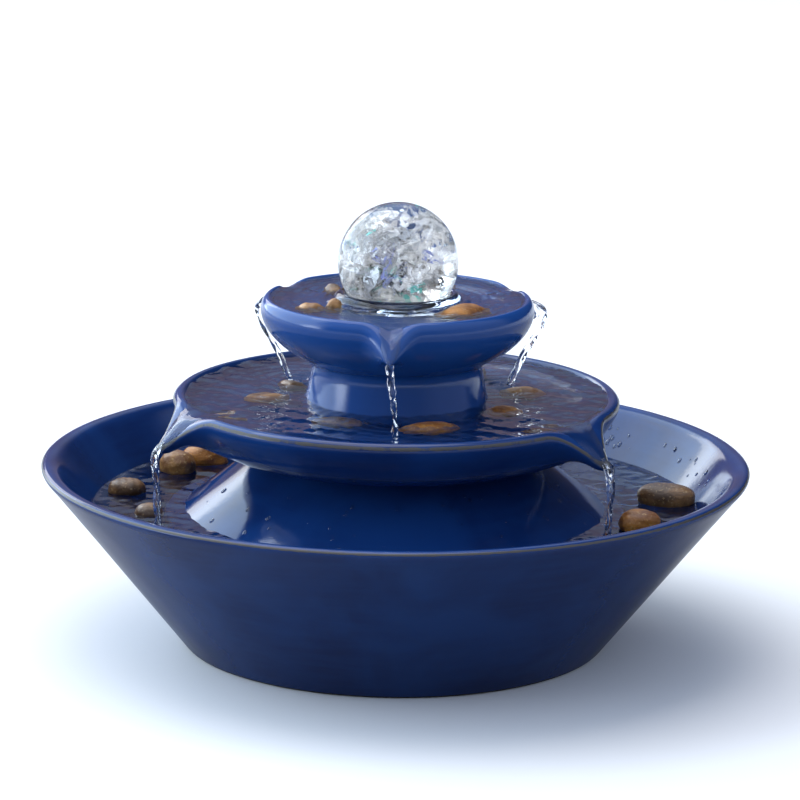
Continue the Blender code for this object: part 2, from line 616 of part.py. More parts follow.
# ---------------------------------------------------------------- assembly
def main():
    """Build every piece of the fountain."""
    clear_scene()
    make_basin()
    make_pump_cover()
    make_middle_tray()
    make_upper_tray()
    make_ball_seat()
    make_glass_ball()
    make_riser_tube()
    make_tube_grommet()
    make_volute_cover()
    make_pump_housing()
    make_seal_ring()
    make_rotor()
    make_stator()
    make_back_plate()
    make_intake_grille()
    make_flow_dial()
    make_suction_cups()
    make_pebbles()


main()
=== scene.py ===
"""Looks of a tabletop water fountain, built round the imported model.

Glazed ceramics, water, falling streams, the crackled ball and the pebbles are surfaces worked out with
numpy. Lengths are metres, the front faces -Y, and an azimuth of 0 points to the front and grows to +X.
"""
import logging
import math
from dataclasses import dataclass, field
from enum import Enum

import bpy
import numpy as np
from mathutils import Matrix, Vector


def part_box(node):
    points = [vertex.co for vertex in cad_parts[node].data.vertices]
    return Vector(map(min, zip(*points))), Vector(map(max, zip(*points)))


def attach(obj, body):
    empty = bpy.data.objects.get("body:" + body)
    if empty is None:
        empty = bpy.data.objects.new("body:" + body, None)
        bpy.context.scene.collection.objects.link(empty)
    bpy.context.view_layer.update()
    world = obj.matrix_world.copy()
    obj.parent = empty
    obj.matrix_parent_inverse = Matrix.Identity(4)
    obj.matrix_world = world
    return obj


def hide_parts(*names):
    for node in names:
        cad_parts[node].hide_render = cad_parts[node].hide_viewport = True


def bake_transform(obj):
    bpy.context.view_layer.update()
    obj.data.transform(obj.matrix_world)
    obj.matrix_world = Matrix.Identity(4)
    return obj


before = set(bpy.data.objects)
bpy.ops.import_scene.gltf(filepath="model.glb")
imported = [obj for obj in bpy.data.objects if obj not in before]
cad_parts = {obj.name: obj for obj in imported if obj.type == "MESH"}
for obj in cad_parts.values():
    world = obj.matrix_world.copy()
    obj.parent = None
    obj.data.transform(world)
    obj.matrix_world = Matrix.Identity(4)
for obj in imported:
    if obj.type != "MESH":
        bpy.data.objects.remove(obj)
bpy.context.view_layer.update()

LOG = logging.getLogger("fountain")
FULL_TURN = 2.0 * math.pi

Array = np.ndarray
Triple = tuple[float, float, float]
Colour = Triple
Points = tuple[tuple[float, float], ...]
Socket = bpy.types.NodeSocket


# ------------------------------------------------------------------ surfaces
class Close(Enum):
    """How the second direction of a grid ends."""

    RING = "ring"      # the last column joins the first
    POLES = "poles"    # the first and the last column shrink to one point each


def grid_faces(rows: int, columns: int, close: Close) -> tuple[Array, Array]:
    """List the quads and the pole triangles of a grid whose rows go all the way round.

    Args:
        rows: number of rows, the last joining the first.
        columns: number of columns that hold a vertex in each row.
        close: how the columns end.

    Returns:
        Quads as (n, 4) and triangles as (m, 3) vertex numbers; pole vertices follow the grid's.
    """
    row = np.arange(rows)[:, None]
    following = (row + 1) % rows
    span = np.arange(columns if close is Close.RING else columns - 1)[None, :]
    after = (span + 1) % columns
    quads = np.stack([row * columns + span, row * columns + after,
                      following * columns + after, following * columns + span], axis=-1).reshape(-1, 4)
    if close is Close.RING:
        return quads, np.zeros((0, 3), int)
    first, last = rows * columns, rows * columns + 1
    row, following = row[:, 0], following[:, 0]
    start = np.stack([np.full(rows, first), row * columns, following * columns], axis=-1)
    end = np.stack([np.full(rows, last), following * columns + columns - 1,
                    row * columns + columns - 1], axis=-1)
    return quads, np.concatenate([start, end])


def signed_volume(points: Array, quads: Array, triangles: Array) -> float:
    """Volume inside the faces: each triangle's corner product over six, negative if inside out.

    Args:
        points: (n, 3) vertices.
        quads: (q, 4) vertex numbers.
        triangles: (t, 3) vertex numbers.

    Returns:
        The volume in cubic metres.
    """
    split = np.concatenate([quads[:, [0, 1, 2]], quads[:, [0, 2, 3]], triangles])
    a, b, c = points[split[:, 0]], points[split[:, 1]], points[split[:, 2]]
    return float(np.einsum("ij,ij->i", a, np.cross(b, c)).sum() / 6.0)


def mesh_object(name: str, points: Array, quads: Array, triangles: Array,
                masks: dict[str, Array] | None = None) -> bpy.types.Object:
    """Put arrays of points and faces into a smooth-shaded object with its faces outwards.

    Args:
        name: the piece's name.
        points: (n, 3) vertices.
        quads: (q, 4) vertex numbers.
        triangles: (t, 3) vertex numbers.
        masks: values from 0 to 1 for each vertex, by attribute name.

    Returns:
        The new object, at the origin.
    """
    if signed_volume(points, quads, triangles) < 0.0:
        quads, triangles = quads[:, ::-1], triangles[:, ::-1]
    loops = np.concatenate([quads.reshape(-1), triangles.reshape(-1)])
    starts = np.concatenate([np.arange(len(quads)) * 4, len(quads) * 4 + np.arange(len(triangles)) * 3])
    mesh = bpy.data.meshes.new(name)
    mesh.vertices.add(len(points))
    mesh.vertices.foreach_set("co", points.reshape(-1).astype(np.float32))
    mesh.loops.add(len(loops))
    mesh.loops.foreach_set("vertex_index", loops.astype(np.int32))
    mesh.polygons.add(len(starts))
    mesh.polygons.foreach_set("loop_start", starts.astype(np.int32))
    mesh.update(calc_edges=True)
    mesh.shade_smooth()
    for mask, values in (masks or {}).items():
        layer = mesh.attributes.new(mask, "FLOAT", "POINT")
        layer.data.foreach_set("value", values.astype(np.float32))
    mesh.validate()
    item = bpy.data.objects.new(name, mesh)
    bpy.context.scene.collection.objects.link(item)
    return item


def grid_object(name: str, grid: Array, close: Close, masks: dict[str, Array] | None = None,
                poles: tuple[Array, Array] | None = None) -> bpy.types.Object:
    """Make an object from a (rows, columns, 3) grid whose rows go all the way round.

    Args:
        name: the piece's name.
        grid: the points.
        close: how the columns end.
        masks: (rows, columns) values by attribute name.
        poles: the first and last pole points, for a grid that ends in poles.

    Returns:
        The new object.
    """
    rows, columns, _ = grid.shape
    quads, triangles = grid_faces(rows, columns, close)
    points = grid.reshape(-1, 3)
    flat = {mask: values.reshape(-1) for mask, values in (masks or {}).items()}
    if close is Close.POLES:
        points = np.concatenate([points, np.stack(poles)])
        ends = {mask: np.array([values[:, 0].mean(), values[:, -1].mean()])
                for mask, values in (masks or {}).items()}
        flat = {mask: np.concatenate([values, ends[mask]]) for mask, values in flat.items()}
    return mesh_object(name, points, quads, triangles, flat)


def scattered_object(name: str, grids: Array, ends: Array, masks: dict[str, Array] | None = None
                     ) -> bpy.types.Object:
    """Put many small closed forms of one kind into one object.

    Args:
        name: the piece's name.
        grids: (count, rows, columns, 3) points, the rows going all the way round.
        ends: (count, 2, 3) pole points of each form.
        masks: one value for each form, by attribute name.

    Returns:
        The new object.
    """
    count, rows, columns, _ = grids.shape
    points = np.concatenate([grids.reshape(count, -1, 3), ends], axis=1)
    each = points.shape[1]
    shift = (np.arange(count) * each)[:, None, None]
    quads, triangles = grid_faces(rows, columns, Close.POLES)
    values = {mask: np.repeat(value, each) for mask, value in (masks or {}).items()}
    return mesh_object(name, points.reshape(-1, 3), (quads[None] + shift).reshape(-1, 4),
                       (triangles[None] + shift).reshape(-1, 3), values)


def spline_matrix(points: Array, spacing: float, closed: bool) -> tuple[Array, Array]:
    """Weights that carry control points to samples of a smooth curve through them.

    The curve is a cubic between each two control points, whose slope at a point is the mean of the
    slopes of its two neighbours, weighted by the square root of their distance (centripetal).

    Args:
        points: (n, k) control points that set the spacing of the curve.
        spacing: distance between samples, at most.
        closed: whether the last point joins the first.

    Returns:
        A (samples, n) matrix, and for each sample its place in control point numbers.
    """
    count = len(points)
    spans = count if closed else count - 1
    steps = np.linalg.norm(np.roll(points, -1, axis=0) - points, axis=1)
    knots = np.sqrt(np.maximum(steps, 1e-6))
    unit = np.eye(count)
    ahead = (np.roll(unit, -1, axis=0) - unit) / knots[:, None]
    behind = np.roll(ahead, 1, axis=0)
    before = np.roll(knots, 1)
    slope = (ahead * before[:, None] + behind * knots[:, None]) / (before + knots)[:, None]
    if not closed:
        slope[0], slope[-1] = ahead[0], ahead[-2]
    number = np.maximum(2, np.ceil(steps[:spans] / spacing)).astype(int)
    span = np.repeat(np.arange(spans), number)
    share = np.concatenate([np.arange(n) / n for n in number])
    if not closed:
        span, share = np.append(span, spans - 1), np.append(share, 1.0)
    u, k = share[:, None], knots[span][:, None]
    start, end = unit[span], unit[(span + 1) % count]
    leave, arrive = slope[span] * k, slope[(span + 1) % count] * k
    matrix = ((2 * u**3 - 3 * u**2 + 1) * start + (u**3 - 2 * u**2 + u) * leave
              + (3 * u**2 - 2 * u**3) * end + (u**3 - u**2) * arrive)
    return matrix, span + share


def turn_outline(outline: Array, azimuths: Array) -> Array:
    """Carry (radius, height) samples round the axis: x is radius times sine, y minus radius times cosine.

    Args:
        outline: (samples, 2), or (azimuths, samples, 2) where it changes with the azimuth.
        azimuths: angles in radians.

    Returns:
        (azimuths, samples, 3) points.
    """
    radius, height = np.broadcast_to(outline, (len(azimuths),) + outline.shape[-2:]).transpose(2, 0, 1)
    sine, cosine = np.sin(azimuths)[:, None], np.cos(azimuths)[:, None]
    return np.stack([radius * sine, -radius * cosine, height], axis=-1)


def around(count: int, start: float = 0.0) -> Array:
    """Evenly spaced azimuths in radians, the first at a start given in degrees."""
    return math.radians(start) + np.arange(count) * FULL_TURN / count


def place(azimuth: float, radius: float, height: float) -> Array:
    """The point at an azimuth in degrees, a distance from the axis and a height."""
    turn = math.radians(azimuth)
    return np.array([radius * math.sin(turn), -radius * math.cos(turn), height])


def near(position: Array, middle: float, reach: float) -> Array:
    """1 where a position is at the middle, fading as a bell to 0 over the reach."""
    return np.exp(-((position - middle) / reach) ** 2)


# ------------------------------------------------------------------ node graphs
class Graph:
    """A node tree with short calls that add nodes and join them."""

    def __init__(self, tree: bpy.types.NodeTree) -> None:
        """Keep the tree to add to."""
        self.tree = tree

    def add(self, kind: str, **settings: object) -> bpy.types.Node:
        """Add a node of a kind and set its properties.

        Args:
            kind: the node's type, without its ShaderNode prefix.
            **settings: its properties by name.

        Returns:
            The new node.
        """
        node = self.tree.nodes.new("ShaderNode" + kind)
        for name, value in settings.items():
            setattr(node, name, value)
        return node

    def put(self, node: bpy.types.Node, name: str | int, value: object) -> None:
        """Give an input a value, or join it to a socket.

        Args:
            node: the node to set.
            name: the input's name or number.
            value: a plain value, or the socket to join.
        """
        if isinstance(value, bpy.types.NodeSocket):
            self.tree.links.new(value, node.inputs[name])
        else:
            node.inputs[name].default_value = value

    def fill(self, node: bpy.types.Node, values: dict[str | int, object]) -> None:
        """Give several inputs their values or sockets."""
        for name, value in values.items():
            self.put(node, name, value)

    def noise(self, vector: Socket, scale: float | Socket, detail: float = 3.0,
              distortion: float = 0.0) -> Socket:
        """Smooth random values at a scale in cycles for each metre.

        Args:
            vector: the positions.
            scale: cycles for each metre.
            detail: number of finer layers.
            distortion: how far the pattern is warped.

        Returns:
            Values from 0 to 1.
        """
        node = self.add("TexNoise")
        self.fill(node, {"Vector": vector, "Scale": scale, "Detail": detail, "Distortion": distortion})
        return node.outputs["Fac"]

    def stretch(self, vector: Socket, scale: Triple, turn: Triple = (0.0, 0.0, 0.0)) -> Socket:
        """Turn a vector and scale each of its directions, which draws a pattern out one way.

        Args:
            vector: the positions.
            scale: factor along each direction.
            turn: angles in radians.

        Returns:
            The changed vector.
        """
        node = self.add("Mapping")
        self.fill(node, {"Vector": vector, "Rotation": turn, "Scale": scale})
        return node.outputs[0]

    def measure(self, operation: str, vector: Socket, other: Triple = (0.0, 0.0, 0.0)) -> Socket:
        """One number from a vector: its length, or its dot product with another.

        Args:
            operation: the vector operation that gives one number.
            vector: the vector to measure.
            other: the second vector, where there is one.

        Returns:
            The node's output.
        """
        node = self.add("VectorMath", operation=operation)
        self.fill(node, {0: vector, 1: other})
        return node.outputs["Value"]

    def spread(self, value: Socket, low: float | Socket, high: float | Socket, to_low: float = 0.0,
               to_high: float = 1.0) -> Socket:
        """Stretch values between low and high smoothly over a new range.

        Args:
            value: the values.
            low: the value that gives to_low.
            high: the value that gives to_high.
            to_low: start of the new range.
            to_high: end of the new range.

        Returns:
            The node's output.
        """
        node = self.add("MapRange", interpolation_type="SMOOTHSTEP")
        self.fill(node, {"Value": value, "From Min": low, "From Max": high, "To Min": to_low,
                         "To Max": to_high})
        return node.outputs["Result"]

    def math(self, operation: str, first: Socket | float, second: Socket | float = 0.0) -> Socket:
        """A sum on one or two values.

        Args:
            operation: the sum to do.
            first: its first value.
            second: its second value, where there is one.

        Returns:
            The node's output.
        """
        node = self.add("Math", operation=operation)
        self.fill(node, {0: first, 1: second})
        return node.outputs[0]

    def product(self, first: Socket, *others: Socket | float) -> Socket:
        """Multiply values, such as masks that must all hold.

        Args:
            first: the first value.
            *others: the values to multiply it by.

        Returns:
            The node's output.
        """
        for other in others:
            first = self.math("MULTIPLY", first, other)
        return first

    def blend(self, share: Socket | float, first: Socket | Colour, second: Socket | Colour) -> Socket:
        """Mix two colours, the second by the share.

        Args:
            share: 0 for the first colour, 1 for the second.
            first: a colour or a socket.
            second: a colour or a socket.

        Returns:
            The mixed colour.
        """
        node = self.add("Mix", data_type="RGBA")
        self.put(node, "Factor", share)
        for slot, colour in ((6, first), (7, second)):
            self.put(node, slot, colour if isinstance(colour, bpy.types.NodeSocket) else (*colour, 1.0))
        return node.outputs[2]

    def bump(self, height: Socket, depth: float, strength: float = 1.0,
             under: Socket | None = None) -> Socket:
        """Tilt the normal by a height whose full range is the depth in metres.

        Args:
            height: values from 0 to 1.
            depth: the full range in metres.
            strength: share of the tilt that shows.
            under: a normal to tilt further.

        Returns:
            The tilted normal.
        """
        node = self.add("Bump")
        self.fill(node, {"Height": height, "Distance": depth, "Strength": strength})
        if under is not None:
            self.put(node, "Normal", under)
        return node.outputs["Normal"]

    def mask(self, name: str) -> Socket:
        """Read a value that the mesh holds for each vertex."""
        return self.add("Attribute", attribute_name=name).outputs["Fac"]

    def place(self) -> Socket:
        """The point on the surface, in metres."""
        return self.add("TexCoord").outputs["Object"]

    def group(self, tree: bpy.types.NodeTree, **values: object) -> Socket:
        """Put a shared group in, with its own values, and give its output.

        Args:
            tree: the shared group.
            **values: its inputs by name.

        Returns:
            The group's first output.
        """
        node = self.add("Group")
        node.node_tree = tree
        self.fill(node, values)
        return node.outputs[0]


def shared_group(name: str, inputs: tuple[str, ...], outputs: tuple[str, ...]
                 ) -> tuple[Graph, bpy.types.Node, bpy.types.Node]:
    """Start a shader node group whose sockets are numbers, but for a Vector input.

    Args:
        name: the group's name.
        inputs: names of its inputs.
        outputs: names of its outputs.

    Returns:
        The group's graph, its input node and its output node.
    """
    tree = bpy.data.node_groups.new(name, "ShaderNodeTree")
    for socket in inputs:
        kind = "NodeSocketVector" if socket == "Vector" else "NodeSocketFloat"
        tree.interface.new_socket(socket, in_out="INPUT", socket_type=kind)
    for socket in outputs:
        tree.interface.new_socket(socket, in_out="OUTPUT", socket_type="NodeSocketFloat")
    graph = Graph(tree)
    return graph, tree.nodes.new("NodeGroupInput"), tree.nodes.new("NodeGroupOutput")


class Effects:
    """The shared groups: patches of colour, worn edges and fine grain."""

    def __init__(self) -> None:
        """Build the three groups once."""
        self.patches = self.build_patches()
        self.worn_edge = self.build_worn_edge()
        self.grain = self.build_grain()

    @staticmethod
    def build_patches() -> bpy.types.NodeTree:
        """Soft patches: noise stretched between Low and High.

        Returns:
            The shader node group.
        """
        graph, inputs, outputs = shared_group("Patches", ("Vector", "Scale", "Low", "High"), ("Mask",))
        value = graph.noise(inputs.outputs["Vector"], inputs.outputs["Scale"], 4.0, 0.4)
        stretched = graph.spread(value, inputs.outputs["Low"], inputs.outputs["High"])
        graph.tree.links.new(stretched, outputs.inputs["Mask"])
        return graph.tree

    @staticmethod
    def build_worn_edge() -> bpy.types.NodeTree:
        """A band along an edge whose borders wander with noise.

        Returns:
            The shader node group.
        """
        graph, inputs, outputs = shared_group("Worn edge", ("Vector", "Edge", "Scale", "Wander"), ("Mask",))
        wander = graph.noise(inputs.outputs["Vector"], inputs.outputs["Scale"], 5.0)
        moved = graph.product(graph.math("SUBTRACT", wander, 0.5), inputs.outputs["Wander"])
        band = graph.spread(graph.math("ADD", inputs.outputs["Edge"], moved), 0.42, 0.62)
        graph.tree.links.new(band, outputs.inputs["Mask"])
        return graph.tree

    @staticmethod
    def build_grain() -> bpy.types.NodeTree:
        """Fine height: noise at one scale with a finer noise laid over it.

        Returns:
            The shader node group.
        """
        graph, inputs, outputs = shared_group("Grain", ("Vector", "Scale"), ("Height",))
        coarse = graph.noise(inputs.outputs["Vector"], inputs.outputs["Scale"], 2.0)
        finer = graph.product(inputs.outputs["Scale"], 3.7)
        fine = graph.noise(inputs.outputs["Vector"], finer, 2.0)
        height = graph.math("ADD", coarse, graph.product(fine, 0.35))
        graph.tree.links.new(height, outputs.inputs["Height"])
        return graph.tree


def new_material(name: str) -> tuple[bpy.types.Material, Graph, bpy.types.Node]:
    """Start a material.

    Args:
        name: the material's name.

    Returns:
        The material, its graph and its Principled BSDF.
    """
    material = bpy.data.materials.new(name)
    material.use_nodes = True
    shader = material.node_tree.nodes["Principled BSDF"]
    return material, Graph(material.node_tree), shader


# ------------------------------------------------------------------ finishes
@dataclass(frozen=True)
class BlueGlaze:
    """Deep cobalt gloss glaze that thins to tan at the rims and stops above the bare clay foot.

    A mesh says where by three masks: rim, bare and pale; pale is painted light, a lighter blue standing in
    for more light falling there. One that it doesn't hold counts as 0.
    """

    deep: Colour = (0.0055, 0.0225, 0.102)
    bright: Colour = (0.0085, 0.043, 0.172)
    thin: Colour = (0.062, 0.056, 0.050)
    clay: Colour = (0.030, 0.020, 0.014)
    # Painted light: the lighter blue that the pale mask blends in where more light falls.
    pale: Colour = (0.014, 0.070, 0.265)
    roughness: float = 0.09
    index: float = 1.42
    pool_scale: float = 22.0
    brush_scale: float = 34.0
    edge_scale: float = 260.0
    wave_scale: float = 30.0
    wave: float = 0.0009
    skin_scale: float = 420.0
    skin: float = 0.00005

    def build(self, effects: Effects) -> bpy.types.Material:
        """Pool the glaze in patches, wear it at the rims, and wave its surface slightly.

        Args:
            effects: the shared groups.

        Returns:
            The material.
        """
        material, graph, shader = new_material("blue_glaze")
        spot = graph.place()
        patches = graph.group(effects.patches, Vector=spot, Scale=self.pool_scale, Low=0.3, High=0.72)
        pooled_and_lit = graph.blend(patches, self.deep, self.bright)
        streaks = graph.noise(graph.stretch(spot, (1.0, 1.0, 9.0)), self.brush_scale, 4.0)
        pooled_and_lit = graph.blend(graph.spread(streaks, 0.35, 0.75, 0.0, 0.35), pooled_and_lit, self.bright)
        # Painted light: the pale mask lifts the pooled glaze towards the lighter blue.
        pooled_and_lit = graph.blend(graph.mask("pale"), pooled_and_lit, self.pale)
        rim = graph.group(effects.worn_edge, Vector=spot, Edge=graph.mask("rim"), Scale=self.edge_scale,
                          Wander=0.55)
        bare = graph.spread(graph.mask("bare"), 0.4, 0.6)
        dull = graph.math("ADD", graph.product(rim, 0.22), graph.product(bare, 0.6))
        upright = graph.noise(graph.stretch(spot, (1.0, 1.0, 0.3)), self.wave_scale, 1.0)
        grain = graph.group(effects.grain, Vector=spot, Scale=self.skin_scale)
        graph.fill(shader, {
            "Base Color": graph.blend(bare, graph.blend(rim, pooled_and_lit, self.thin), self.clay),
            "Roughness": graph.math("ADD", dull, self.roughness),
            "IOR": self.index,
            "Normal": graph.bump(grain, self.skin, 0.5, graph.bump(upright, self.wave))})
        return material


@dataclass(frozen=True)
class Clear:
    """A clear finish, water or a solid, whose surface is not quite even."""

    name: str
    tint: Colour
    roughness: float = 0.0
    index: float = 1.49
    wave: float = 0.0001
    wave_scale: float = 90.0
    detail: float = 2.0
    distortion: float = 0.0
    strength: float = 0.5

    def build(self) -> bpy.types.Material:
        """Refract, with ripples finer than the mesh holds.

        Returns:
            The material.
        """
        material, graph, shader = new_material(self.name)
        uneven = graph.noise(graph.place(), self.wave_scale, self.detail, self.distortion)
        graph.fill(shader, {
            "Base Color": (*self.tint, 1.0), "Roughness": self.roughness, "IOR": self.index,
            "Transmission Weight": 1.0, "Normal": graph.bump(uneven, self.wave, self.strength)})
        return material


@dataclass(frozen=True)
class CrackFlake:
    """A crack inside the ball: a bright lacy film, silver, teal or violet by its own value, made brighter by
    a painted glow though it is no lamp.
    """

    silver: Colour = (1.0, 1.0, 1.0)
    dim: Colour = (0.50, 0.52, 0.54)
    teal: Colour = (0.20, 0.66, 0.62)
    violet: Colour = (0.42, 0.48, 0.85)
    lace_scale: float = 260.0
    # Painted glow: the flakes emit a little of their own colour so that they look lit inside the glass.
    painted_glow: float = 0.20

    def build(self) -> bpy.types.Material:
        """Colour each flake by the value that its mesh holds.

        Returns:
            The material.
        """
        material, graph, shader = new_material("crack_flake")
        hue, spot = graph.mask("hue"), graph.place()
        colour = graph.blend(graph.spread(hue, 0.45, 0.75), self.silver, self.dim)
        colour = graph.blend(graph.spread(hue, 0.90, 0.91), colour, self.teal)
        colour = graph.blend(graph.spread(hue, 0.95, 0.96), colour, self.violet)
        lace = graph.spread(graph.noise(spot, self.lace_scale, 3.0, 1.4), 0.44, 0.60, 0.02, 1.0)
        # The emission is a painted glow, not a lamp.
        graph.fill(shader, {
            "Base Color": colour, "Metallic": 0.4, "Roughness": 0.2,
            "Emission Color": colour, "Emission Strength": self.painted_glow,
            "Alpha": graph.product(lace, graph.spread(hue, 0.0, 0.9, 0.25, 0.9)),
            "Normal": graph.bump(graph.noise(spot, 300.0, 2.0), 0.0004, 0.6)})
        return material


class Stone(Enum):
    """Kinds of river stone: main colour, darker veins, lighter specks."""

    ORANGE = ((0.54, 0.215, 0.032), (0.20, 0.065, 0.010), (0.60, 0.35, 0.11))
    TAN = ((0.50, 0.245, 0.062), (0.22, 0.090, 0.024), (0.60, 0.39, 0.16))
    BROWN = ((0.30, 0.150, 0.050), (0.085, 0.040, 0.014), (0.42, 0.28, 0.13))


@dataclass(frozen=True)
class WetStone:
    """Polished river stone, wet."""

    kind: Stone
    roughness: float = 0.42
    wet: float = 0.30
    pit: float = 0.00045

    def build(self, effects: Effects) -> bpy.types.Material:
        """Vein and speckle the stone, pit it finely and wet it with a clear coat.

        Args:
            effects: the shared groups.

        Returns:
            The material.
        """
        main, vein, speck = self.kind.value
        material, graph, shader = new_material("stone_" + self.kind.name.lower())
        spot = graph.place()
        patches = graph.group(effects.patches, Vector=spot, Scale=95.0, Low=0.35, High=0.68)
        banded = graph.stretch(spot, (1.0, 1.0, 5.0), (0.4, 0.9, 0.3))
        bands = graph.spread(graph.noise(banded, 120.0, 4.0, 0.8), 0.48, 0.66, 0.0, 0.55)
        colour = graph.blend(bands, graph.blend(patches, vein, main), vein)
        dots = graph.spread(graph.noise(spot, 900.0, 2.0), 0.60, 0.70, 0.0, 0.7)
        pits = graph.group(effects.grain, Vector=spot, Scale=700.0)
        graph.fill(shader, {
            "Base Color": graph.blend(dots, colour, speck), "Roughness": self.roughness,
            "Coat Weight": self.wet, "Coat Roughness": 0.16, "Coat IOR": 1.33,
            "Normal": graph.bump(pits, self.pit, 0.8)})
        return material


@dataclass(frozen=True)
class Moulded:
    """Moulded plastic or rubber with a fine texture and slightly scuffed patches."""

    name: str
    colour: Colour
    scuffed: Colour
    roughness: float = 0.45
    grain: float = 900.0
    depth: float = 0.00004

    def build(self, effects: Effects) -> bpy.types.Material:
        """Texture the surface and vary its gloss.

        Args:
            effects: the shared groups.

        Returns:
            The material.
        """
        material, graph, shader = new_material(self.name)
        spot = graph.place()
        patches = graph.group(effects.patches, Vector=spot, Scale=70.0, Low=0.45, High=0.8)
        height = graph.group(effects.grain, Vector=spot, Scale=self.grain)
        graph.fill(shader, {
            "Base Color": graph.blend(patches, self.colour, self.scuffed),
            "Roughness": graph.math("ADD", graph.product(patches, 0.15), self.roughness),
            "Normal": graph.bump(height, self.depth, 0.6)})
        return material


@dataclass(frozen=True)
class Lined:
    """A surface made of fine parallel lines: stacked steel sheets or wound wire."""

    name: str
    colour: Colour
    groove: Colour
    lines: Triple
    metallic: float = 1.0
    roughness: float = 0.35

    def build(self, effects: Effects) -> bpy.types.Material:
        """Draw the lines as bands along one direction, with darker grooves between them.

        Args:
            effects: the shared groups.

        Returns:
            The material.
        """
        material, graph, shader = new_material(self.name)
        spot = graph.place()
        ramp = graph.measure("DOT_PRODUCT", spot, self.lines)
        wave = graph.math("ABSOLUTE", graph.math("SINE", ramp))
        patches = graph.group(effects.patches, Vector=spot, Scale=120.0, Low=0.3, High=0.8)
        graph.fill(shader, {
            "Base Color": graph.blend(graph.spread(wave, 0.0, 0.45), self.groove, self.colour),
            "Metallic": self.metallic,
            "Roughness": graph.math("ADD", graph.product(patches, 0.2), self.roughness),
            "Normal": graph.bump(wave, 0.0002, 0.7)})
        return material


# ------------------------------------------------------------------ ceramics
@dataclass(frozen=True)
class Spouts:
    """Pouring lips spaced round a tray: where they are and how wide."""

    azimuths: tuple[float, ...]
    half: float
    power: float = 1.5
    blunt: float = 0.07

    def weight(self, azimuths: Array) -> Array:
        """How far the lip's shape has taken over, at azimuths in radians.

        With the distance to the nearest lip as a share of the half width, softened at the middle by a
        hyperbola, the weight is one minus that share, to a power: a pointed bell.

        Args:
            azimuths: angles in radians.

        Returns:
            One weight from 0 to 1 for each azimuth.
        """
        middles = np.radians(self.azimuths)[:, None]
        away = np.abs((azimuths[None, :] - middles + math.pi) % FULL_TURN - math.pi).min(axis=0)
        share = (np.hypot(away / math.radians(self.half), self.blunt) - self.blunt)
        share = share / (math.hypot(1.0, self.blunt) - self.blunt)
        return np.maximum(0.0, 1.0 - share) ** self.power


@dataclass(frozen=True)
class Section:
    """A closed outline in (radius, height), and its shape at the middle of a lip."""

    plain: Points
    pouring: Points | None = None

    def sample(self, spacing: float, weight: Array | None = None, closed: bool = True
               ) -> tuple[Array, Array]:
        """Sample the outline, moved towards its pouring shape by the weight at each azimuth.

        Args:
            spacing: distance between samples, at most.
            weight: share of the pouring shape at each azimuth.
            closed: whether the outline joins up with its start.

        Returns:
            (samples, 2) or (azimuths, samples, 2) points, and each sample's place in point numbers.
        """
        plain = np.array(self.plain)
        matrix, position = spline_matrix(plain, spacing, closed)
        if self.pouring is None or weight is None:
            return matrix @ plain, position
        moved = np.array(self.pouring) - plain
        shapes = plain[None] + weight[:, None, None] * moved[None]
        return np.einsum("sp,apk->ask", matrix, shapes), position


@dataclass
class Basin:
    """The wide bowl on its foot: a turned outline with a rolled rim."""

    glaze: bpy.types.Material
    body: str = "basin"
    segments: int = 400
    spacing: float = 0.0024
    section: Section = Section((
        (0.0000, 0.0026), (0.0600, 0.0026), (0.0745, 0.0024), (0.0766, 0.0004), (0.0780, 0.0001),
        (0.0880, 0.0001), (0.0898, 0.0003), (0.0907, 0.0011), (0.0918, 0.0025), (0.1100, 0.0255),
        (0.1300, 0.0508), (0.1470, 0.0720), (0.1495, 0.0750), (0.1499, 0.0763), (0.1490, 0.0773),
        (0.1472, 0.0777), (0.1452, 0.0774), (0.1430, 0.0762), (0.1408, 0.0738), (0.1380, 0.0703),
        (0.1200, 0.0474), (0.1000, 0.0220), (0.0925, 0.0125), (0.0890, 0.0095), (0.0830, 0.0081),
        (0.0500, 0.0080), (0.0000, 0.0080)))
    rim_at: float = 13.5
    rim_reach: float = 0.5
    foot_at: float = 6.6

    def build(self) -> None:
        """Turn the bowl, and mark its rim and its bare foot."""
        outline, position = self.section.sample(self.spacing, closed=False)
        outline, position = outline[1:-1], position[1:-1]
        azimuths = around(self.segments)
        grid = turn_outline(outline, azimuths)
        rim = np.broadcast_to(near(position, self.rim_at, self.rim_reach), grid.shape[:2])
        bare = np.broadcast_to((position < self.foot_at).astype(float), grid.shape[:2])
        poles = (np.array([0.0, 0.0, self.section.plain[0][1]]),
                 np.array([0.0, 0.0, self.section.plain[-1][1]]))
        piece = grid_object("basin_bowl", grid, Close.POLES, {"rim": rim, "bare": bare}, poles)
        dress(piece, self.glaze, self.body, "basin")


def raised(points: Points, first: int, heights: tuple[float, ...]) -> Points:
    """The same outline with new heights for some points, starting at the first."""
    moved = tuple((points[first + step][0], height) for step, height in enumerate(heights))
    return points[:first] + moved + points[first + len(heights):]


COVER_OUTLINE = (
    (0.0140, 0.0764), (0.0140, 0.0816), (0.0145, 0.0820), (0.0560, 0.0820), (0.0582, 0.0817),
    (0.0602, 0.0804), (0.0640, 0.0774), (0.0800, 0.0650), (0.0960, 0.0526), (0.0976, 0.0510),
    (0.0980, 0.0492), (0.0980, 0.0400), (0.0980, 0.0208), (0.0975, 0.0199), (0.0918, 0.0199),
    (0.0910, 0.0208), (0.0910, 0.0400), (0.0909, 0.0455), (0.0902, 0.0486), (0.0880, 0.0512),
    (0.0720, 0.0638), (0.0590, 0.0740), (0.0565, 0.0754), (0.0540, 0.0760), (0.0145, 0.0760))


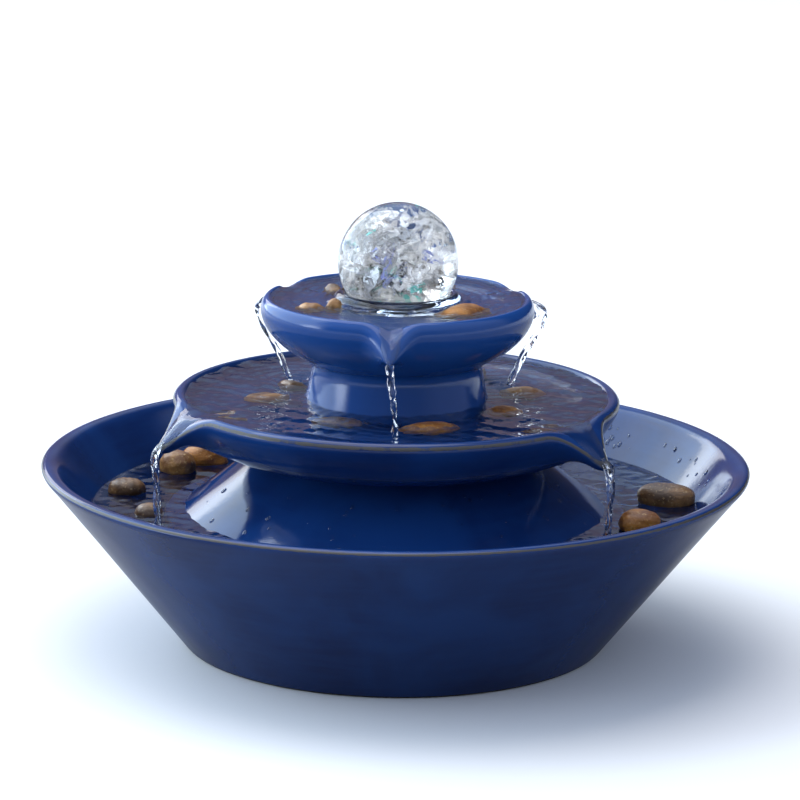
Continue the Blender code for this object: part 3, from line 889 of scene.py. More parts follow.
@dataclass
class PumpCover:
    """The cone over the pump, with arched notches along its lower edge."""

    glaze: bpy.types.Material
    body: str = "pump_cover"
    segments: int = 480
    spacing: float = 0.0022
    notches: Spouts = Spouts(tuple(30.0 + 60.0 * step for step in range(6)), 14.0, 0.5, 0.08)
    section: Section = Section(COVER_OUTLINE, raised(COVER_OUTLINE, 11, (
        0.0440, 0.0388, 0.0379, 0.0379, 0.0388, 0.0430)))
    edge_at: float = 13.5
    edge_reach: float = 0.8
    wear: float = 0.55

    def build(self) -> None:
        """Turn the cone, raising its lower edge at the notches."""
        azimuths = around(self.segments, self.notches.azimuths[0])
        outline, position = self.section.sample(self.spacing, self.notches.weight(azimuths))
        grid = turn_outline(outline, azimuths)
        rim = self.wear * near(position, self.edge_at, self.edge_reach)
        piece = grid_object("cover_cone", grid, Close.RING, {"rim": np.broadcast_to(rim, grid.shape[:2])})
        dress(piece, self.glaze, self.body, "pump_cover")


@dataclass
class PouringTray:
    """A turned tray whose rim runs down into three pointed lips."""

    name: str
    node: str
    body: str
    glaze: bpy.types.Material
    section: Section
    spouts: Spouts
    rim_at: float
    rim_reach: float
    wear: float = 1.0
    segments: int = 720
    spacing: float = 0.0022
    # Share of painted light: how far the glaze is lifted towards the lighter blue for the extra light on this
    # tray.
    pale: float = 0.0

    def build(self) -> None:
        """Turn the tray, and mark its worn rim and how much painted light lifts its glaze."""
        azimuths = around(self.segments, self.spouts.azimuths[0])
        outline, position = self.section.sample(self.spacing, self.spouts.weight(azimuths))
        grid = turn_outline(outline, azimuths)
        rim = np.broadcast_to(self.wear * near(position, self.rim_at, self.rim_reach), grid.shape[:2])
        # The pale mask carries painted light, the same over the whole tray.
        masks = {"rim": rim, "pale": np.full(grid.shape[:2], self.pale)}
        piece = grid_object(self.name, grid, Close.RING, masks)
        dress(piece, self.glaze, self.body, self.node)


MIDDLE_SPOUTS = Spouts((-66.3, 53.7, 173.7), 14.0, 2.2, 0.08)
UPPER_SPOUTS = Spouts((-2.4, 117.6, -122.4), 14.0, 2.2, 0.08)

MIDDLE_HUB = ((0.0094, 0.0884), (0.0094, 0.0936), (0.0100, 0.0940))
MIDDLE_UNDER = ((0.0615, 0.0824), (0.0545, 0.0824), (0.0522, 0.0832), (0.0508, 0.0872), (0.0485, 0.0880),
                (0.0100, 0.0880))
MIDDLE_SECTION = Section(
    MIDDLE_HUB + (
        (0.0640, 0.0940), (0.0740, 0.0948), (0.0830, 0.0976), (0.0878, 0.1030), (0.0895, 0.1061),
        (0.0912, 0.1070), (0.0931, 0.1064), (0.0943, 0.1048), (0.0939, 0.1020), (0.0905, 0.0962),
        (0.0860, 0.0910), (0.0800, 0.0872), (0.0740, 0.0846), (0.0650, 0.0828)) + MIDDLE_UNDER,
    MIDDLE_HUB + (
        (0.0620, 0.0940), (0.0720, 0.0950), (0.0800, 0.0985), (0.0862, 0.1027), (0.0920, 0.1034),
        (0.0976, 0.1004), (0.1034, 0.0950), (0.1072, 0.0906), (0.1040, 0.0893), (0.0985, 0.0912),
        (0.0930, 0.0922), (0.0855, 0.0892), (0.0780, 0.0862), (0.0670, 0.0834)) + MIDDLE_UNDER)

UPPER_HUB = ((0.0100, 0.1304), (0.0100, 0.1356), (0.0106, 0.1360))
UPPER_FOOT = ((0.0366, 0.1208), (0.0361, 0.1185), (0.0371, 0.1120), (0.0388, 0.1045), (0.0411, 0.0952),
              (0.0405, 0.0945), (0.0370, 0.0945), (0.0362, 0.0960), (0.0315, 0.1180), (0.0298, 0.1280),
              (0.0275, 0.1299), (0.0106, 0.1300))
UPPER_SECTION = Section(
    UPPER_HUB + (
        (0.0400, 0.1360), (0.0460, 0.1366), (0.0512, 0.1402), (0.0527, 0.1445), (0.0533, 0.1470),
        (0.0546, 0.1484), (0.0563, 0.1474), (0.0574, 0.1450), (0.0575, 0.1415), (0.0549, 0.1350),
        (0.0480, 0.1278), (0.0405, 0.1232)) + UPPER_FOOT,
    UPPER_HUB + (
        (0.0390, 0.1360), (0.0435, 0.1368), (0.0475, 0.1397), (0.0505, 0.1428), (0.0530, 0.1441),
        (0.0565, 0.1444), (0.0620, 0.1405), (0.0650, 0.1372), (0.0671, 0.1340), (0.0636, 0.1324),
        (0.0545, 0.1308), (0.0418, 0.1238)) + UPPER_FOOT)


# ------------------------------------------------------------------ water
@dataclass(frozen=True)
class Ripple:
    """Rings that spread from where a stream lands."""

    azimuth: float
    radius: float
    height: float
    length: float
    reach: float

    def lift(self, x: Array, y: Array) -> Array:
        """Height of the rings: a cosine of the distance over the wave length, dying out over the reach.

        Args:
            x: positions across, in metres.
            y: positions back, in metres.

        Returns:
            The height at each position, in metres.
        """
        middle = place(self.azimuth, self.radius, 0.0)
        away = np.hypot(x - middle[0], y - middle[1])
        return self.height * np.cos(FULL_TURN * away / self.length) * np.exp(-away / self.reach)


def chop(x: Array, y: Array, slope: float, seed: int) -> Array:
    """Small wind waves: a sum of sines in random directions, each as steep as the slope.

    Args:
        x: positions across, in metres.
        y: positions back, in metres.
        slope: the steepness of each wave.
        seed: fixes the random directions.

    Returns:
        The height at each position, in metres.
    """
    rng = np.random.default_rng(seed)
    lengths = np.geomspace(0.0034, 0.020, 15)
    turns, phases = rng.uniform(0.0, FULL_TURN, (2, lengths.size))
    lift = np.zeros(x.shape)
    for length, turn, phase in zip(lengths, turns, phases):
        pace = FULL_TURN / length
        lift += slope / pace * np.sin(pace * (x * math.cos(turn) + y * math.sin(turn)) + phase)
    return lift


@dataclass
class Pool:
    """The water standing in a bowl or tray: a closed body with a rippled top.

    Its section runs from the axis side up, out along the surface and back inside the ceramic, so that
    no air is left between the water and the glaze. Only the samples between two point numbers ripple.
    """

    name: str
    body: str
    water: bpy.types.Material
    section: Section
    top: tuple[float, float]
    ripples: tuple[Ripple, ...]
    spouts: Spouts | None = None
    slope: float = 0.024
    segments: int = 600
    spacing: float = 0.0010
    fades: tuple[float, float] = (0.3, 0.6)

    def build(self) -> None:
        """Turn the section and lift the samples of its surface."""
        start = self.spouts.azimuths[0] if self.spouts else 0.0
        azimuths = around(self.segments, start)
        weight = self.spouts.weight(azimuths) if self.spouts else None
        outline, position = self.section.sample(self.spacing, weight)
        grid = turn_outline(outline, azimuths)
        (low, high), (rise, fall) = self.top, self.fades
        inside = (np.clip((position - low) / rise, 0.0, 1.0)
                  * np.clip((high - position) / fall, 0.0, 1.0))
        x, y = grid[..., 0], grid[..., 1]
        lift = sum(ripple.lift(x, y) for ripple in self.ripples)
        lift = lift + chop(x, y, self.slope, self.segments)
        grid[..., 2] += lift * inside[None, :]
        piece = grid_object(self.name, grid, Close.RING)
        dress(piece, self.water, self.body)


@dataclass
class Drops:
    """Splashed drops on a sloping wall: flattened beads, longer down the slope than across it."""

    name: str
    body: str
    water: bpy.types.Material
    low: tuple[float, float]
    high: tuple[float, float]
    outward: float
    arc: tuple[float, float]
    count: int
    seed: int
    sizes: tuple[float, float] = (0.0003, 0.0011)
    long: float = 1.4
    flat: float = 0.5

    def build(self) -> None:
        """Scatter the beads between two (radius, height) points of the wall, over an arc in degrees."""
        rng = np.random.default_rng(self.seed)
        foot, top = np.array(self.low), np.array(self.high)
        share = rng.uniform(size=self.count)[:, None]
        radius, height = (foot + share * (top - foot)).T
        turn = np.radians(rng.uniform(*self.arc, self.count))
        fall = (foot - top) / np.linalg.norm(foot - top)
        facing = np.array([-fall[1], fall[0]]) * self.outward
        way = np.stack([np.sin(turn), -np.cos(turn)], axis=-1)
        middle = np.concatenate([way * radius[:, None], height[:, None]], axis=1)
        down = np.concatenate([way * fall[0], np.full((self.count, 1), fall[1])], axis=1)
        out = np.concatenate([way * facing[0], np.full((self.count, 1), facing[1])], axis=1)
        across = np.stack([np.cos(turn), np.sin(turn), np.zeros(self.count)], axis=-1)
        size = rng.uniform(*self.sizes, self.count)[:, None, None]
        polar = np.linspace(0.0, math.pi, 8)[None, 1:-1]
        angle = around(10)[:, None]
        long = self.long * size * np.sin(polar) * np.cos(angle)
        wide = size * np.sin(polar) * np.sin(angle)
        tall = self.flat * size * np.broadcast_to(np.cos(polar), long.shape[1:])
        grid = (middle[:, None, None] + long[..., None] * down[:, None, None]
                + wide[..., None] * across[:, None, None] + tall[..., None] * out[:, None, None])
        ends = self.flat * size[:, 0] * out
        piece = scattered_object(self.name, grid, np.stack([middle + ends, middle - ends], axis=1))
        dress(piece, self.water, self.body)


@dataclass(frozen=True)
class Knot:
    """A point on a stream's path: degrees from the lip's middle, distance from the axis, height, and
    the stream's half width across the lip and half thickness there."""

    turn: float
    radius: float
    height: float
    wide: float
    thick: float


@dataclass
class Stream:
    """A falling strand of water, blended between the tray it leaves and the pool that it reaches.

    Its centre follows a smooth curve through the knots; its section is an ellipse that turns slowly and
    swells as a falling chain of links does, more the further it has fallen.
    """

    name: str
    above: str
    below: str
    water: bpy.types.Material
    azimuth: float
    knots: tuple[Knot, ...]
    links: float = 3.0
    swell: float = 0.5
    twist: float = 1.5
    phase: float = 0.0
    sides: int = 28
    spacing: float = 0.00045
    ruffle: float = 0.14
    caps: tuple[float, float] = (0.0004, 0.0006)

    def build(self) -> None:
        """Sweep the ellipse down the path, bake its transform and log the two bodies that it falls between.
        """
        centres = np.array([place(self.azimuth + knot.turn, knot.radius, knot.height) for knot in self.knots])
        sizes = np.array([(knot.wide, knot.thick) for knot in self.knots])
        matrix, _ = spline_matrix(centres, self.spacing, False)
        path, size = matrix @ centres, matrix @ sizes
        rows = len(path)
        share = np.linspace(0.0, 1.0, rows)[None, :]
        turn = around(self.sides)[:, None]
        beat = self.swell * share * np.sin(FULL_TURN * self.links * share**0.8 + self.phase)
        ruffle = 1.0 + self.ruffle * np.sin(29.0 * share + 3.0 * turn + self.phase)
        wide = size[None, :, 0] * (1.0 + beat) * ruffle
        thick = size[None, :, 1] * (1.0 - beat) * ruffle
        angle = math.radians(self.azimuth) + self.twist * share**1.5
        across, out = wide * np.cos(turn), thick * np.sin(turn)
        x = across * np.cos(angle) + out * np.sin(angle)
        y = across * np.sin(angle) - out * np.cos(angle)
        grid = np.stack([path[None, :, 0] + x, path[None, :, 1] + y,
                         np.broadcast_to(path[None, :, 2], x.shape)], axis=-1)
        poles = (path[0] + [0.0, 0.0, self.caps[0]], path[-1] - [0.0, 0.0, self.caps[1]])
        piece = grid_object(self.name, grid, Close.POLES, None, poles)
        piece.data.materials.append(self.water)
        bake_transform(piece)
        LOG.info("%s falls from %s to %s", self.name, self.above, self.below)


# ------------------------------------------------------------------ ball, seat and hose
@dataclass
class CrackleBall:
    """The clear ball with a cloud of small curved cracks inside."""

    glass: bpy.types.Material
    crack: bpy.types.Material
    body: str = "ball"
    flakes: int = 300
    seed: int = 7
    cloud: float = 0.80
    clear: float = 0.93
    half: float = 0.00005

    def __post_init__(self) -> None:
        """Take the ball's place and size from the frame."""
        low, high = (np.array(corner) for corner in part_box("glass_ball"))
        self.centre, self.radius = (low + high) / 2.0, float(high[2] - low[2]) / 2.0

    def build(self) -> None:
        """Make the ball and its cracks."""
        self.build_shell()
        self.build_cracks()

    def build_shell(self) -> None:
        """A sphere: radius times the sines and cosines of azimuth and polar angle."""
        polar = np.linspace(0.0, math.pi, 98)[1:-1]
        outline = np.stack([self.radius * np.sin(polar), self.centre[2] - self.radius * np.cos(polar)],
                           axis=-1)
        grid = turn_outline(outline, around(192))
        reach = np.array([0.0, 0.0, self.radius])
        piece = grid_object("ball_glass", grid, Close.POLES, None,
                            (self.centre - reach, self.centre + reach))
        dress(piece, self.glass, self.body, "glass_ball")

    def build_cracks(self) -> None:
        """Bent elliptical flakes, thin closed shells scattered evenly through the ball's middle."""
        rng = np.random.default_rng(self.seed)
        count = self.flakes
        away = rng.normal(size=(count, 3))
        away /= np.linalg.norm(away, axis=1)[:, None]
        centres = self.centre + away * self.radius * self.cloud * rng.uniform(size=(count, 1)) ** (1 / 2.0)
        room = self.radius * self.clear - np.linalg.norm(centres - self.centre, axis=1)
        size = np.minimum(rng.uniform(0.0040, 0.0090, count) * rng.uniform(size=count) + 0.0010, room)
        normal = rng.normal(size=(count, 3))
        normal /= np.linalg.norm(normal, axis=1)[:, None]
        side = np.cross(normal, np.roll(normal, 1, axis=1) + 0.3)
        side /= np.linalg.norm(side, axis=1)[:, None]
        other = np.cross(normal, side)
        turn = around(12)[:, None]
        ring = np.array([0.30, 0.62, 0.86, 1.0, 1.0, 0.86, 0.62, 0.30])[None, :]
        face = np.array([1.0, 1.0, 1.0, 0.4, -0.4, -1.0, -1.0, -1.0])[None, :] * self.half
        jag = 1.0 + 0.22 * np.sin(3.0 * turn + 1.0) + 0.12 * np.sin(5.0 * turn)
        flat = np.stack([ring * jag * np.cos(turn), 0.72 * ring * jag * np.sin(turn)], axis=-1)
        bend = rng.uniform(-0.35, 0.35, count)[:, None, None]
        u, v = (flat[None, ..., k] * size[:, None, None] for k in (0, 1))
        lift = bend * (u**2 + 0.6 * u * v) / size[:, None, None] + face[None]
        grid = (centres[:, None, None] + u[..., None] * side[:, None, None]
                + v[..., None] * other[:, None, None] + lift[..., None] * normal[:, None, None])
        poles = np.stack([centres + self.half * normal, centres - self.half * normal], axis=1)
        piece = scattered_object("ball_cracks", grid, poles, {"hue": rng.uniform(size=count)})
        dress(piece, self.crack, self.body)


@dataclass
class BallSeat:
    """The clear cup that the ball turns in, with its spigot."""

    acrylic: bpy.types.Material
    body: str = "upper_tray"
    segments: int = 160

    def build(self) -> None:
        """Turn the cup: a hollow of the ball's shape, a straight outside and the hose socket."""
        low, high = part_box("ball_seat")
        ball_low, ball_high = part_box("glass_ball")
        radius, middle = (ball_high[2] - ball_low[2]) / 2.0 + 0.0004, (ball_high[2] + ball_low[2]) / 2.0
        outside, top = high[0], high[2]
        across = np.linspace(0.0046, math.sqrt(radius**2 - (middle - top) ** 2), 24)
        hollow = np.stack([across, middle - np.sqrt(radius**2 - across**2)], axis=-1)
        rest = np.array([
            (outside - 0.0006, top), (outside - 0.0001, top - 0.0004), (outside, top - 0.0012),
            (outside, 0.1374), (outside - 0.0006, 0.1364), (0.0104, 0.1364), (0.0096, 0.1358),
            (0.0096, low[2] + 0.0006), (0.0091, low[2]), (0.00675, low[2]), (0.00675, 0.1350),
            (0.0046, 0.1352)])
        grid = turn_outline(np.concatenate([hollow, rest]), around(self.segments))
        piece = grid_object("seat_cup", grid, Close.RING)
        dress(piece, self.acrylic, self.body, "ball_seat")


@dataclass
class Hose:
    """The clear hose from the pump to the seat."""

    vinyl: bpy.types.Material
    body: str = "basin"

    def build(self) -> None:
        """Turn a tube with rounded ends."""
        low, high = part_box("riser_tube")
        radius, bore, ease = high[0], 0.00475, 0.0003
        section = np.array([
            (bore, low[2] + ease), (bore + ease, low[2]), (radius - ease, low[2]), (radius, low[2] + ease),
            (radius, high[2] - ease), (radius - ease, high[2]), (bore + ease, high[2]),
            (bore, high[2] - ease)])
        grid = turn_outline(section, around(64))
        piece = grid_object("hose_tube", grid, Close.RING)
        dress(piece, self.vinyl, self.body, "riser_tube")


# ------------------------------------------------------------------ pebbles
def squared(value: Array, power: float) -> Array:
    """Keep the sign and raise the size to a power, which flattens a round form's sides."""
    return np.sign(value) * np.abs(value) ** power


@dataclass
class PebbleBed:
    """The stones of one tray: each is a lumpy rounded form in the place of its CAD stone."""

    body: str
    node_prefix: str
    kinds: tuple[Stone, ...]
    finishes: dict[Stone, bpy.types.Material]
    seed: int
    rows: int = 72
    columns: int = 44

    def build(self) -> None:
        """Make each stone of the bed."""
        for number, kind in enumerate(self.kinds, start=1):
            self.build_stone(f"{self.node_prefix}_{number}", self.finishes[kind], number)

    def build_stone(self, node: str, finish: bpy.types.Material, number: int) -> None:
        """Press a ball into the stone's own length, width and height and lump it with slow waves.

        The directions come from the CAD stone: the long way lies along the main spread of its points.

        Args:
            node: the CAD stone that it replaces.
            finish: its material.
            number: its place in the bed, which fixes its lumps.
        """
        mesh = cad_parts[node].data
        points = np.empty(len(mesh.vertices) * 3)
        mesh.vertices.foreach_get("co", points)
        points = points.reshape(-1, 3)
        low, high = points.min(axis=0), points.max(axis=0)
        centre = (low + high) / 2.0
        level = points[:, :2] - centre[:2]
        _, _, ways = np.linalg.svd(level - level.mean(axis=0), full_matrices=False)
        half = np.abs(level @ ways.T).max(axis=0)
        rng = np.random.default_rng(self.seed * 100 + number)
        polar = np.linspace(0.0, math.pi, self.columns + 2)[None, 1:-1]
        turn = around(self.rows)[:, None]
        x = squared(np.sin(polar), 0.9) * squared(np.cos(turn), 0.88)
        y = squared(np.sin(polar), 0.9) * squared(np.sin(turn), 0.88)
        z = np.broadcast_to(squared(np.cos(polar), 0.82), x.shape)
        way = rng.normal(size=(6, 3))
        phase = rng.uniform(0.0, FULL_TURN, 6)
        size = np.array([0.045, 0.040, 0.030, 0.016, 0.012, 0.008])
        pace = np.array([1.2, 1.5, 1.9, 3.4, 4.6, 6.5])
        lump = 1.0 + sum(size[k] * np.sin(pace[k] * (way[k, 0] * x + way[k, 1] * y + way[k, 2] * z)
                                          + phase[k]) for k in range(6))
        taper = 1.0 + rng.uniform(-0.22, 0.22) * x
        local = np.stack([x * half[0] * lump, y * half[1] * lump * taper], axis=-1)
        flat = local @ ways
        tall = z * (high[2] - low[2]) / 2.0 * lump
        grid = np.concatenate([centre[:2] + flat, (centre[2] + tall)[..., None]], axis=-1)
        poles = tuple(np.array([*grid[:, column, :2].mean(axis=0), grid[:, column, 2].mean()])
                      for column in (0, -1))
        piece = grid_object("stone_" + node, grid, Close.POLES, None, poles)
        dress(piece, finish, self.body, node)


# ------------------------------------------------------------------ pump
@dataclass
class Pump:
    """The pump's CAD pieces, each given its own finish."""

    effects: Effects

    def build(self) -> None:
        """Dress each node with the finish of its material."""
        cups = tuple(f"suction_cup_{number}" for number in range(1, 5))
        for finish, nodes in (
            (Moulded("pump_black", (0.012, 0.012, 0.014), (0.030, 0.030, 0.032)),
             ("volute_cover", "pump_housing", "back_plate", "intake_grille")),
            (Moulded("dial_grey", (0.060, 0.064, 0.070), (0.095, 0.10, 0.105)), ("flow_dial",)),
            (Moulded("black_rubber", (0.010, 0.010, 0.010), (0.028, 0.028, 0.028), 0.68, 500.0, 0.00008),
             ("seal_ring", "front_shaft_bush", "rear_shaft_bush", "cable_gland", "tube_grommet") + cups),
            (Moulded("white_nylon", (0.72, 0.70, 0.65), (0.62, 0.60, 0.54), 0.38),
             ("coil_bobbin", "impeller")),
            (Moulded("ferrite", (0.045, 0.045, 0.048), (0.075, 0.072, 0.070), 0.5, 1400.0, 0.00006),
             ("rotor_magnet",)),
            (Moulded("alumina", (0.78, 0.77, 0.73), (0.70, 0.69, 0.66), 0.25), ("rotor_shaft",)),
            (Lined("core_steel", (0.42, 0.42, 0.43), (0.10, 0.095, 0.09), (0.0, 0.0, 6300.0)),
             ("stator_core",)),
            (Lined("copper_wire", (0.70, 0.30, 0.14), (0.16, 0.055, 0.02), (7800.0, 0.0, 0.0), 0.9, 0.25),
             ("coil_winding",)),
        ):
            self.dress_nodes(finish.build(self.effects), nodes)

    @staticmethod
    def dress_nodes(finish: bpy.types.Material, nodes: tuple[str, ...]) -> None:
        """Give CAD nodes a finish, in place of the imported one.

        Args:
            finish: the material.
            nodes: names of the CAD nodes.
        """
        for node in nodes:
            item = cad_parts[node]
            if not item.material_slots:
                item.data.materials.append(finish)
            for slot in item.material_slots:
                slot.material = finish
            LOG.info("%s dressed as %s", node, finish.name)


def dress(piece: bpy.types.Object, finish: bpy.types.Material, body: str,
          node: str | None = None) -> None:
    """Give a piece its finish, its body and its slot, and hide the CAD node that it stands for.

    Args:
        piece: the new object.
        finish: its material.
        body: the CAD body that carries it.
        node: the CAD node that it replaces, if any.
    """
    piece.data.materials.append(finish)
    if node is not None:
        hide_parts(node)
    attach(piece, body)
    LOG.info("%s rides on %s with %d faces", piece.name, body, len(piece.data.polygons))


# ------------------------------------------------------------------ studio
@dataclass(frozen=True)
class Surroundings:
    """Light from all round, by direction: low at the sides, the dome above, and an opening of sky."""

    front_left: Colour = (0.20, 0.23, 0.30)
    front_right: Colour = (0.42, 0.50, 0.70)
    beside: Colour = (3.6, 4.3, 5.4)
    behind: Colour = (0.24, 0.19, 0.23)
    dome: Colour = (0.72, 0.86, 1.12)
    screen: Colour = (0.03, 0.035, 0.05)
    horizon: Colour = (7.0, 8.2, 10.0)
    sky: Colour = (2.7, 3.5, 4.5)
    cloud: Colour = (3.0, 3.5, 3.8)
    opening: Triple = (-0.822, 0.400, 0.405)

    def build(self) -> None:
        """Blend each light over the directions that its masks name, X across, Y back and Z up."""
        world = bpy.data.worlds.new("studio")
        bpy.context.scene.world = world
        world.use_nodes = True
        graph = Graph(world.node_tree)
        way = graph.add("TexCoord").outputs["Generated"]
        split = graph.add("SeparateXYZ")
        graph.put(split, 0, way)
        across, back, up = split.outputs
        light = graph.blend(graph.spread(across, 0.4, 0.9), self.front_left, self.front_right)
        left = graph.product(graph.spread(across, -0.30, -0.55), graph.spread(back, -0.50, -0.25))
        light = graph.blend(left, light, self.beside)
        light = graph.blend(graph.spread(back, 0.25, 0.7), light, self.behind)
        light = graph.blend(graph.spread(up, 0.18, 0.62), light, self.dome)
        right = graph.product(graph.spread(across, 0.05, 0.40), graph.spread(back, 0.1, 0.4))
        light = graph.blend(right, light, self.screen)
        level = graph.product(graph.spread(across, -0.40, -0.60), graph.spread(up, 0.20, 0.10),
                              graph.spread(back, -0.45, -0.28))
        light = graph.blend(level, light, self.horizon)
        veil = graph.spread(graph.noise(graph.stretch(way, (3.0, 3.0, 0.8)), 2.6, 2.0), 0.35, 0.65)
        open_sky = graph.blend(veil, self.sky, self.cloud)
        window = graph.spread(graph.measure("DOT_PRODUCT", way, self.opening), 0.76, 0.86)
        graph.fill(world.node_tree.nodes["Background"], {
            "Color": graph.blend(window, light, open_sky), "Strength": 1.0})


@dataclass
class Studio:
    """Pale floor, soft light and the camera."""

    eye: Triple = (0.0015, -1.5582, 0.4670)
    aim: Triple = (0.0015, 0.0, 0.1036)
    roll: float = 0.74
    lens: float = 170.1

    def build(self) -> None:
        """Set the camera, the floor, the lights and the surroundings, shown as they are."""
        self.set_camera()
        self.lay_floor()
        self.add_panel("window_white", (-0.840, 1.764, 0.80), 0.66, 0.70, 3.3, (1.0, 0.99, 0.98))
        self.add_panel("sky_top", (-0.5, 0.5, 2.6), 2.2, 2.2, 34.0, (1.0, 0.95, 0.90))
        Surroundings().build()
        bpy.context.scene.view_settings.view_transform = "Standard"

    def set_camera(self) -> None:
        """Aim the camera from its eye point and turn it by the small roll."""
        camera = bpy.data.objects.new("camera", bpy.data.cameras.new("camera"))
        camera.data.lens = self.lens
        camera.data.sensor_width = 36.0
        camera.data.clip_end = 50.0
        bpy.context.scene.collection.objects.link(camera)
        eye, aim = np.array(self.eye), np.array(self.aim)
        back = (eye - aim) / np.linalg.norm(eye - aim)
        right = np.cross([0.0, 0.0, 1.0], back)
        right /= np.linalg.norm(right)
        up = np.cross(back, right)
        turn = math.radians(self.roll)
        tilted = right * math.cos(turn) + up * math.sin(turn)
        upright = up * math.cos(turn) - right * math.sin(turn)
        matrix = np.eye(4)
        matrix[:3, 0], matrix[:3, 1], matrix[:3, 2], matrix[:3, 3] = tilted, upright, back, eye
        camera.matrix_world = Matrix(matrix.tolist())
        bpy.context.scene.camera = camera

    def lay_floor(self) -> None:
        """A wide pale disc at the foot's height, faintly uneven. Near the fountain it is painted shade:
        bounced and reflected rays see it dark grey, so it throws little light back.
        """
        material, graph, shader = new_material("floor_pale")
        spot = graph.place()
        shade = graph.spread(graph.noise(spot, 1.5, 2.0), 0.3, 0.7)
        pale = graph.blend(shade, (0.90, 0.88, 0.845), (0.93, 0.91, 0.88))
        # Painted shade: to any ray but the camera's and refracted ones, the floor is dark grey within half a
        # metre, fading to pale by 1.1 m.
        rays = graph.add("LightPath").outputs
        seen = graph.math("MAXIMUM", rays["Is Camera Ray"], rays["Is Transmission Ray"])
        away = graph.measure("LENGTH", spot)
        seen = graph.math("MAXIMUM", seen, graph.spread(away, 0.5, 1.1))
        graph.fill(shader, {"Base Color": graph.blend(seen, (0.34, 0.33, 0.325), pale), "Roughness": 0.75})
        rows, reach = 64, 8.0
        turn = around(rows)
        points = np.stack([reach * np.cos(turn), reach * np.sin(turn), np.zeros(rows)], axis=-1)
        mesh = bpy.data.meshes.new("floor")
        mesh.from_pydata(points.tolist(), [], [list(range(rows))])
        floor = bpy.data.objects.new("floor", mesh)
        floor.location = (0.0, 0.0, -0.0001)
        mesh.materials.append(material)
        bpy.context.scene.collection.objects.link(floor)

    @staticmethod
    def add_panel(name: str, spot: Triple, width: float, height: float, power: float,
                  colour: Colour) -> None:
        """Hang a soft panel light that faces the fountain.

        Args:
            name: the light's name.
            spot: its place, in metres.
            width: its width in metres.
            height: its height in metres.
            power: its power in watts.
            colour: its colour.
        """
        light = bpy.data.lights.new(name, "AREA")
        light.shape = "RECTANGLE"
        light.size, light.size_y, light.energy, light.color = width, height, power, colour
        item = bpy.data.objects.new(name, light)
        item.location = spot
        towards = np.array([0.0, 0.0, 0.08]) - np.array(spot)
        level = math.hypot(towards[0], towards[1])
        item.rotation_euler = (math.atan2(level, -towards[2]), 0.0, math.atan2(-towards[0], towards[1]))
        bpy.context.scene.collection.objects.link(item)


# ------------------------------------------------------------------ the fountain
UPPER_FALL_FRONT = (
    Knot(0.0, 0.0668, 0.1352, 0.0010, 0.0006), Knot(0.0, 0.0672, 0.1330, 0.0016, 0.0013),
    Knot(0.4, 0.0665, 0.1270, 0.0014, 0.0012), Knot(1.2, 0.0660, 0.1200, 0.0013, 0.0011),
    Knot(1.8, 0.0655, 0.1130, 0.0011, 0.0011), Knot(2.0, 0.0650, 0.1050, 0.0014, 0.0013))
UPPER_FALL_BACK = (
    Knot(0.0, 0.0625, 0.1418, 0.0026, 0.0007), Knot(0.0, 0.0672, 0.1400, 0.0030, 0.0012),
    Knot(0.0, 0.0706, 0.1350, 0.0026, 0.0015), Knot(0.0, 0.0680, 0.1275, 0.0020, 0.0014),
    Knot(0.0, 0.0605, 0.1165, 0.0016, 0.0013), Knot(0.0, 0.0545, 0.1050, 0.0016, 0.0015))
MIDDLE_FALL = (
    Knot(0.3, 0.1050, 0.0946, 0.0012, 0.0005), Knot(0.3, 0.1082, 0.0910, 0.0024, 0.0011),
    Knot(0.3, 0.1090, 0.0860, 0.0018, 0.0012), Knot(0.8, 0.1085, 0.0780, 0.0015, 0.0011),
    Knot(0.4, 0.1080, 0.0680, 0.0013, 0.0012), Knot(0.0, 0.1075, 0.0574, 0.0016, 0.0014))
MIDDLE_STRAND = (
    Knot(-0.8, 0.1064, 0.0925, 0.0008, 0.0005), Knot(-1.0, 0.1086, 0.0880, 0.0010, 0.0008),
    Knot(-0.2, 0.1086, 0.0790, 0.0008, 0.0007), Knot(0.9, 0.1080, 0.0690, 0.0008, 0.0007),
    Knot(1.0, 0.1074, 0.0574, 0.0010, 0.0009))


